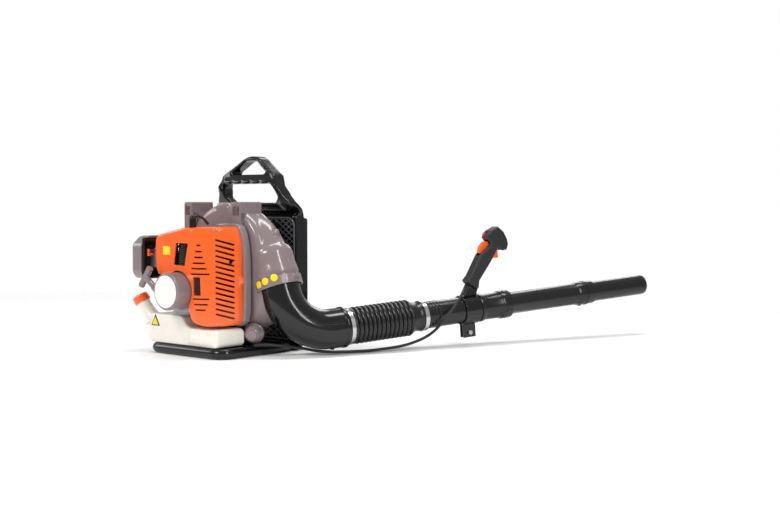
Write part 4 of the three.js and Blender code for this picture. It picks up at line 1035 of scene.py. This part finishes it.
def makeCover():
    c = cover
    front = slab("coverFront", c["edge"], -175, -47)
    plan = slab("coverPlan", c["plan"], 60, 360, lying)
    cut(front, plan, "INTERSECT")
    for x, z in c["bosses"]:
        post = lathe("coverBoss", [(0, -30), (9, -30), (8, 0), (0, 0)], placing(point(x, -52, z), (0, -1, 0)), 24)
        post.data.transform(Matrix.Translation((0, -14 * mm, 0)))
        cut(front, post, "UNION")
    melted(front, c["voxel"], c["passes"])
    inner = front.copy()
    inner.data = front.data.copy()
    scene.collection.objects.link(inner)
    normals = [v.normal.copy() for v in inner.data.vertices]
    for vertex, normal in zip(inner.data.vertices, normals):
        vertex.co -= normal * c["wall"] * mm
        if vertex.co.y > -0.058:
            vertex.co.y += 0.03
    front.name = "engineCover"
    cut(front, inner)
    cutters = [lathe("archCutter", [(0, -240), (c["archRadius"], -240), (c["archRadius"], -30), (0, -30)],
                     placing(point(0, 0, 172), (0, 1, 0)), 96),
               block("intakeNotch", (-200, -140, 190), (-92, 0, 296)),
               lathe("bootHole", [(0, 300), (15, 300), (15, 400), (0, 400)], placing(point(0, -112, 0), (0, 0, 1)), 40),
               slab("finWindow", [(-6, 297), (41, 296), (28, 238), (-16, 240)], -200, -140),
               slab("sideWindow", [(57, 210), (78, 210), (79, 163), (58, 163)], -200, -120)]
    for z, left, right in c["levelSlots"]:
        pieces = [(x + (left + right) / 2, zz + z) for x, zz in pill(right - left, 4.2)]
        cutters.append(slab("levelSlot", pieces, -200, -112))
    for cutter in cutters:
        cut(front, cutter)
    along = Vector((37, 46, -17)).normalized()
    facing = Vector((46, -37, 0)).normalized()
    slot = slab("slantSlot", pill(c["slantLength"], 5.0), -26, 26, placing(Vector(), facing, along))
    slots = row("slantSlots", slot, c["slantSlots"], tuple(point(115, -104, 299)), (0, 0, -c["slantPitch"] * mm))
    cut(front, slots)
    cut(front, lathe("tuningHole", [(0, -30), (5, -30), (5, 30), (0, 30)], placing(point(124, -92, 248), facing), 32))
    addSpots("power_unit", [touch(front, (x * mm, -0.4, z * mm), (0, 1, 0)) for x, z in c["bosses"] + [(-80, 222)]])
    return place(front, "mouldedOrangeAbs", "power_unit", ["engine_cover"], angle=38)


engineCover = makeCover()


# Grey flange that the cover's right edge sits on.
def makeFlange():
    outline = [(80, 78), (122, 80), (134, 92), (140, 122), (142, 200), (141, 254), (137, 290), (130, 320), (120, 338),
               (106, 346), (60, 347), (30, 345), (30, 338), (60, 338), (102, 336), (112, 328), (122, 308), (128, 282),
               (131, 250), (131, 170), (129, 124), (124, 96), (116, 90), (80, 88)]
    thing = bevelled(slab("coverFlange", outline, -58, -36), 2.5, 25, 3)
    return place(thing, "mouldedGreyAbs", "power_unit")


makeFlange()


# Black slats behind the cooling window.
def makeSlats():
    slat = bevelled(block("slat", (-36, -3.5, -1.1), (36, 3.5, 1.1)), 0.5)
    slats = row("coolingSlats", slat, 12, tuple(point(13, -153, 240.5)), (0, 0, 4.9 * mm))
    posts = [bevelled(block("post", (x - 1.5, -152, 236), (x + 1.5, -146, 300)), 0.5) for x in (-20, 13, 46)]
    place(joinAll("coolingSlats", [slats] + posts), "mouldedBlackPolypropylene", "power_unit")


makeSlats()
print("cover ready", len(engineCover.data.polygons))


def makeTank():
    low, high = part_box("base_tray")[1].z / mm + 0.4, 106
    edge = [(-140, low), (120, low), (128, low + 8), (128, 66), (119, 75), (24, 75), (8, 82), (-8, 102), (-24, high),
            (-130, high), (-150, high - 22), (-150, low + 12)]
    thing = slab("fuelTank", edge, -143, -47)
    mouth = placing(point(-180, -140, 141), Vector((-0.5, -0.2, 0.84)).normalized())
    neck = lathe("tankNeck", [(0, -70), (26, -70), (19, -34), (18, -10), (18, 4), (0, 4)], mouth, 40)
    ledge = bevelled(slab("tankLedge", [(20, low + 6), (118, low + 6), (118, 58), (20, 58)], -150, -120), 6)
    for extra in (neck, ledge):
        cut(thing, extra, "UNION")
    melted(thing, 2.6, 20)
    for vertex in thing.data.vertices:
        vertex.co.z = max(vertex.co.z, (low + 0.1) * mm)
    place(thing, "blowMouldedPolyethylene", "power_unit", ["fuel_tank"])
    profile = [(0, 10), (19, 10), (21, 9.2), (22, 7.5), (22, -8.5), (21.2, -9.6), (19.4, -10), (18.7, -9), (18.7, 5),
               (0, 5)]
    cap = lathe("fuelCap", profile, mouth, 120,
                wobble=lambda a, s: 0.7 * (abs(math.sin(a * 15)) - 0.5) if -8.6 < s < 7.6 else 0)
    bar = bevelled(block("capBar", (-14, 9, -3), (14, 12.5, 3), mouth), 1.4, 30, 3)
    place(joinAll("fuelCap", [cap, bar]), "mouldedOrangeAbs", "fuel_cap", ["fuel_cap"])


makeTank()
print("tank ready")

# pieces that keep the CAD's shape: name, CAD node, finish, body, voxel in mm, smoothing passes
plain = [
    ("crankcase", "crankcase", "dieCastAluminium", "power_unit", 2.2, 5),
    ("cylinderBody", "cylinder", "dieCastAluminium", "power_unit", 1.2, 1),
    ("mufflerBox", "muffler", "dieCastAluminium", "power_unit", 2.0, 6),
    ("ignitionCoil", "ignition_coil", "mouldedBlackPolypropylene", "power_unit", 1.2, 3),
    ("intakeManifold", "intake_manifold", "mouldedRubber", "power_unit", 1.2, 3),
    ("carburettorBody", "carburettor", "dieCastAluminium", "power_unit", 1.2, 3),
    ("throttleCam", "throttle_cam", "zincPlatedSteel", "throttle_cam", 0.7, 1),
    ("chokeLever", "choke_lever", "mouldedOrangeAbs", "choke_lever", 0.6, 2),
    ("filterBase", "air_filter_base", "mouldedBlackPolypropylene", "power_unit", 1.6, 3),
    ("filterElement", "air_filter_element", "reticulatedFoam", "power_unit", 2.2, 4),
    ("filterKnob", "filter_cover_knob", "mouldedBlackPolypropylene", "filter_cover_knob", 0.8, 2),
    ("starterReel", "starter_reel", "printedWhitePlastic", "starter_reel", 1.2, 1),
    ("starterGrip", "starter_handle", "mouldedGreyAbs", "starter_handle", 1.0, 6),
    ("starterCup", "starter_housing", "mouldedGreyAbs", "power_unit", 1.2, 5),
    ("outletClamp", "outlet_clamp", "mouldedGreyAbs", "power_unit", 1.3, 4),
    ("handleClamp", "handle_clamp", "mouldedBlackPolypropylene", "control_tube", 1.1, 4),
    ("clampBolt", "clamp_bolt", "zincPlatedSteel", "control_tube", 0.7, 1),
    ("handleLeft", "handle_left_shell", "texturedNylon", "control_tube", 1.1, 6),
    ("handleRight", "handle_right_shell", "texturedNylon", "control_tube", 1.1, 6),
    ("throttleTrigger", "throttle_trigger", "mouldedOrangeAbs", "throttle_trigger", 0.7, 4),
    ("throttleLock", "throttle_lock_lever", "mouldedOrangeAbs", "throttle_lock", 0.7, 4),
    ("stopSwitch", "stop_switch", "mouldedRedAbs", "stop_switch", 0.6, 3),
]
for name, node, look, body, voxel, passes in plain:
    place(roundedCopy(name, [node], voxel, passes), look, body, [node])
print("rounded parts ready")

# CAD meshes shown as they are, with a finish
kept = {
    "fan_impeller": "texturedNylon",
    "crankshaft": "zincPlatedSteel",
    "spark_plug": "zincPlatedSteel",
    "strap_adjuster_left": "mouldedBlackPolypropylene",
    "strap_adjuster_right": "mouldedBlackPolypropylene",
}
for node, look in kept.items():
    data = cadNodes[node].data
    data.materials.clear()
    data.materials.append(finish(look))


# Air filter cover: a deep rounded lid with a rolled rim, open to the filter behind.
def makeFilterCover():
    def lid(name, inset, left, right):
        edge = [(-158 + inset + 12, 196 + inset), (-72 - inset, 196 + inset), (-62 - inset, 210), (-62 - inset, 296),
                (-76 - inset, 312 - inset), (-132 + inset, 312 - inset), (-158 + inset, 290), (-158 + inset, 210)]
        return slab(name, edge, left, right, Matrix(((0, 1, 0, 0), (1, 0, 0, 0), (0, 0, 1, 0), (0, 0, 0, 1))))
    thing = bevelled(lid("filterCover", 0, -200, -110), 17, 20, 5)
    melted(thing, 2.2, 14)
    inner = lid("filterSpace", 5, -193, -140)
    cut(thing, inner)
    trim = lid("filterTrim", -20, -157.6, -60)
    cut(thing, trim)
    cut(thing, lathe("knobHole", [(0, 150), (5, 150), (5, 230), (0, 230)],
                     placing(point(0, -112, 252), (-1, 0, 0)), 24))
    return place(thing, "mouldedGreyAbs", "power_unit", ["air_filter_cover"])


makeFilterCover()


# Spark plug boot with its moulded rings.
def makeBoot():
    profile = [(5.6, 335), (9, 335)]
    for i in range(6):
        z = 337 + 3.6 * i
        profile += [(9.6, z + 0.4), (9.6, z + 1.9), (8.5, z + 2.5), (8.5, z + 3.4)]
    profile += [(9.4, 360), (9.0, 364), (6.5, 367), (0, 367), (0, 349.5), (5.6, 349.5)]
    boot = lathe("plugBoot", profile + [(5.6, 335)], placing(point(0, -112, 0), (0, 0, 1)), 40)
    place(boot, "mouldedRubber", "power_unit", ["spark_plug_boot"])
    lead = smoothPath([point(0, -112, 363), point(3, -96, 366), point(6, -80, 358), point(8, -66, 344)], 8)
    place(tube("plugLead", lead, 3.4 * mm, 14), "vinylCableJacket", "power_unit", angle=60)


makeBoot()


# Plain white badge on the starter's face.
def makeBadge():
    profile = [(0, -3), (36, -3), (39, -2.7), (41.2, -2), (42, -0.9), (42, -0.3), (0, -0.3)]
    badge = lathe("starterBadge", profile, placing(point(0, -204, 172), (0, 1, 0)), 96)
    place(badge, "printedWhitePlastic", "power_unit", ["starter_badge"])


makeBadge()
print("starter ready")


elbow = {"radius": 53.0, "bend": 115.0, "before": 28.0, "after": 41.0}


def elbowPath(before, after, steps=40):
    bendAngle = outletWay.angle(tubeWay)
    reach = elbow["bend"] * math.tan(bendAngle / 2) * mm
    start = outletMiddle + outletWay * elbow["before"] * mm
    corner = start + outletWay * reach
    end = corner + tubeWay * reach
    normal = outletWay.cross(tubeWay).normalized()
    centre = start + normal.cross(outletWay).normalized() * elbow["bend"] * mm
    path = [outletMiddle + outletWay * (before + (elbow["before"] - before) * i / 5) * mm for i in range(5)]
    for i in range(steps + 1):
        path.append(centre + Matrix.Rotation(bendAngle * i / steps, 3, normal) @ (start - centre))
    farEnd = end + tubeWay * (elbow["after"] + after) * mm
    path += [end + (farEnd - end) * (i / 5) for i in range(1, 6)]
    return path


def makeElbow():
    path = elbowPath(1, 0)
    radii = [(elbow["radius"] + 1.6 * (1 - min(1, i / 5))) * mm for i in range(len(path))]
    pipe = tube("elbowPipe", path, radii, 72)
    spigot = lathe("spigot", [(0, -2), (44, -2), (44, 12), (45.2, 14), (45.2, 17), (43.5, 22), (0, 22)], tubeFrame, 72)
    lip = lathe("elbowLip", [(0, -12), (53.4, -12), (55, -10), (55, -3), (53, -1), (0, -1)], tubeFrame, 72)
    thing = joinAll("elbowPipe", [pipe, spigot, lip])
    hook = tube("cableHook", [point(279, 124, 8) + Vector((0, 0, 0.006)), point(279, 124, 26)], 5 * mm, 14)
    seam = []
    side = outletWay.cross(tubeWay).normalized()
    for at in path[2:-2]:
        seam.append(at + side * (elbow["radius"] - 0.2) * mm)
    line = tube("mouldSeam", seam, 0.7 * mm, 8)
    thing = joinAll("elbowPipe", [thing, hook, line])
    place(thing, "mouldedBlackPolypropylene", "elbow", ["elbow_pipe"], angle=50)


makeElbow()

bellows = {"start": 26.0, "length": 170.0, "radius": 44.8, "depth": 5.2, "ribs": 13.0}


def makeBellows():
    b = bellows
    thing = grow("bellowsHose", bellowsTree(), {
        "Length": b["length"] * mm, "Radius": b["radius"] * mm, "Depth": b["depth"] * mm, "Ribs": b["ribs"],
        "Around": 97, "Along": int(b["ribs"] * 12) + 1, "Material": finish("mouldedRubber")})
    thing.data.transform(tubeFrame @ Matrix.Translation((0, b["start"] * mm, 0)))
    outward(thing)
    rearCuff = lathe("rearCuff", [(44.6, 0), (46.8, 0), (47.2, 2), (47.2, 14), (48.6, 16), (48.6, 22), (45.2, 26.5),
                                  (44.6, 26.5)], tubeFrame, 96, closed=True)
    frontCuff = lathe("frontCuff", [(44.9, 195.5), (43.4, 201), (40.3, 206), (40.3, 228), (41.4, 229), (41.4, 231),
                                    (40.3, 232), (40.3, 246), (37.2, 246), (37.2, 206), (42.6, 195.5)],
                      tubeFrame, 96, closed=True)
    thing = joinAll("bellowsHose", [thing, rearCuff, frontCuff])
    paint(thing, finish("mouldedRubber"), 60)
    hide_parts("bellows_hose")
    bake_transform(thing)


makeBellows()


# Worm-drive clamp: a slotted steel band with its screw housing.
def makeClamp(name, radius, start, end, body, node, turn):
    band = lathe(name, [(radius, start), (radius + 1.1, start + 0.3), (radius + 1.1, end - 0.3), (radius, end)],
                 tubeFrame, 120, closed=True)
    axes = tubeFrame @ Matrix.Rotation(turn, 4, "Y")
    middle = (start + end) / 2
    box = bevelled(block("wormBox", (radius + 0.6, middle - 5, -9), (radius + 7, middle + 5, 7), axes), 1.2)
    screw = lathe("wormScrew", [(0, -4), (3.4, -4), (3.4, 15), (2.6, 16), (0, 16)],
                  axes @ Matrix.Translation(((radius + 4) * mm, middle * mm, 0))
                  @ Matrix.Rotation(math.pi / 2, 4, "X"), 16)
    place(joinAll(name, [band, box, screw]), "brushedStainless", body, [node])


makeClamp("rearHoseClamp", 48.4, 3, 14, "elbow", "hose_clamp_rear", math.radians(150))
makeClamp("frontHoseClamp", 41.6, 230, 242, "hose_end", "hose_clamp_front", math.radians(200))
print("hose ready")


def makeTubes():
    control = [(34, 206), (36.2, 206), (36.5, 208)]
    for i in range(4):
        s = 250 + 10 * i
        control += [(36.5, s), (37.6, s + 1.5), (37.6, s + 3.5), (36.5, s + 5)]
    control += [(36.5, 416), (38.5, 417.5), (40, 419), (40, 428), (38.8, 430.5), (36.5, 432), (36.5, 484), (38, 487),
                (40, 492), (40, 517), (39.4, 519.4), (38, 520), (34, 520), (34, 206)]
    thing = lathe("controlTube", control, tubeFrame, 96)
    lugs = []
    for turn in (20, 110, 200, 290):
        axes = tubeFrame @ Matrix.Rotation(math.radians(turn), 4, "Y")
        lugs.append(bevelled(block("lug", (39, 497, -6), (42, 504, 6), axes), 1))
        lugs.append(bevelled(block("lug", (39, 509, -3), (41.6, 516, 3), axes), 1))
    place(joinAll("controlTube", [thing] + lugs), "extrudedBlackPolypropylene", "control_tube", ["control_tube"])
    middle = [(28.5, 488), (33, 488), (33, 517), (31, 522), (31, 757), (32, 760), (33.7, 763), (33.7, 814), (33, 817.4),
              (31.6, 818), (29.5, 818), (29.5, 764), (28.5, 760), (28.5, 488)]
    thing = lathe("middleTube", middle, tubeFrame, 96)
    ring = lathe("collarRing", [(31, 786), (35, 787), (35.4, 789), (35.4, 794), (35, 796), (31, 797)], tubeFrame, 96,
                 closed=True)
    pin = bevelled(block("pin", (-4, 770, -36.5), (4, 780, -32), tubeFrame), 1.2)
    place(joinAll("middleTube", [thing, ring, pin]), "extrudedBlackPolypropylene", "middle_tube", ["middle_tube"])
    nozzle = [(26.5, 765), (29, 765), (29, 990), (29.3, 996), (29, 1009), (28.2, 1011.6), (27.4, 1012), (26.5, 1010),
              (26.5, 765)]
    thing = lathe("nozzleTube", nozzle, tubeFrame, 96)
    place(thing, "extrudedBlackPolypropylene", "nozzle", ["nozzle_tube"])


makeTubes()
print("tubes ready")


pads = {"voxel": 5.0, "stand": 3.5, "mass": 0.3, "stiffness": 20, "bending": 2, "pressure": 4, "frames": 20}


# Foam pad in knitted fabric, swollen by the pressure in a cloth simulation.
def makePad(name, node):
    thing = roundedCopy(name, [node], pads["voxel"], 2)
    rest = [v.co.copy() for v in thing.data.vertices]
    cloth = addModifier(thing, "CLOTH")
    cloth.settings.quality = 4
    cloth.settings.mass = pads["mass"]
    cloth.settings.tension_stiffness = pads["stiffness"]
    cloth.settings.compression_stiffness = pads["stiffness"]
    cloth.settings.bending_stiffness = pads["bending"]
    cloth.settings.use_pressure = True
    cloth.settings.uniform_pressure_force = pads["pressure"]
    cloth.settings.effector_weights.gravity = 0
    cloth.collision_settings.use_collision = False
    for step in range(1, pads["frames"] + 1):
        scene.frame_set(step)
    settle(thing)
    scene.frame_set(1)
    # the filled shape is let down evenly until its fullest point has moved by "stand"
    moves = [vertex.co - home for vertex, home in zip(thing.data.vertices, rest)]
    share = min(1, pads["stand"] * mm / max(move.length for move in moves))
    for vertex, home, move in zip(thing.data.vertices, rest, moves):
        vertex.co = home + move * share
    addModifier(thing, "SMOOTH", factor=0.5, iterations=4)
    addModifier(thing, "SUBSURF", levels=1, render_levels=1)
    return settle(thing)


for name, node, fill in (("backPad", "back_pad", 0.7), ("shoulderPadLeft", "shoulder_pad_left", 0.6),
                         ("shoulderPadRight", "shoulder_pad_right", 0.6)):
    pad = makePad(name, node)
    place(pad, knittedSpacerFabric(), "power_unit", [node], "foam_pad", 80)
for node in ("lower_webbing_left", "lower_webbing_right"):
    strap = roundedCopy(node.replace("_", ""), [node], 1.2, 2)
    place(strap, wovenNylon(), "power_unit", [node], "webbing", 60)
print("harness ready")


# Thin plain films laid on the housing, cover and tank: outline in mm, laid at a place and a way.
def makeLabel(name, outline, at, way, up, look, thickness=0.5):
    y = Vector(way).normalized()
    x = y.cross(Vector(up)).normalized()
    axes = placing(at, way, x)
    film = bevelled(slab(name, outline, -1.2, thickness, axes), 0.3)
    return place(film, look, "power_unit")


def discOutline(radius, steps=28):
    angles = [2 * math.pi * i / steps for i in range(steps)]
    return [(radius * math.cos(a), radius * math.sin(a)) for a in angles]


hit = touch(engineCover, (-0.0445, -0.4, 0.276), (0, 1, 0))
makeLabel("squareLabel", [(-14, -11), (14, -11), (14, 11), (-14, 11)], hit[0], (0, -1, 0), (0, 0, 1), "yellowVinyl")
tankFace = point(-117, -143.4, 86)
makeLabel("triangleEdge", [(-17, -13), (17, -13), (0, 17)], tankFace, (0, -1, 0), (0, 0, 1), "blackVinyl", 0.9)
makeLabel("triangleLabel", [(-12.5, -10.4), (12.5, -10.4), (0, 11.6)], tankFace, (0, -1, 0), (0, 0, 1),
          "yellowVinyl", 1.3)
tilt = math.radians(20)
for i, (turn, station) in enumerate(((-8, -4), (14, -6), (38, -8))):
    a = math.radians(turn)
    away = Vector((math.sin(a) * math.cos(tilt), -math.cos(a), math.sin(a) * math.sin(tilt)))
    centre = outletMiddle + outletWay * station * mm
    makeLabel("discLabel%d" % i, discOutline(9.5), centre + away * 63.2 * mm, away, -outletWay, "yellowVinyl", 0.6)
print("labels ready")

screw = screwPiece("screwHead", 3.2)
for body, spots in allSpots.items():
    heads = grow("screws_" + body, spotGroup, {"Piece": screw, "Material": finish("zincPlatedSteel")}, spots)
    place(heads, "zincPlatedSteel", body)
bpy.data.objects.remove(screw)
print("screws ready")
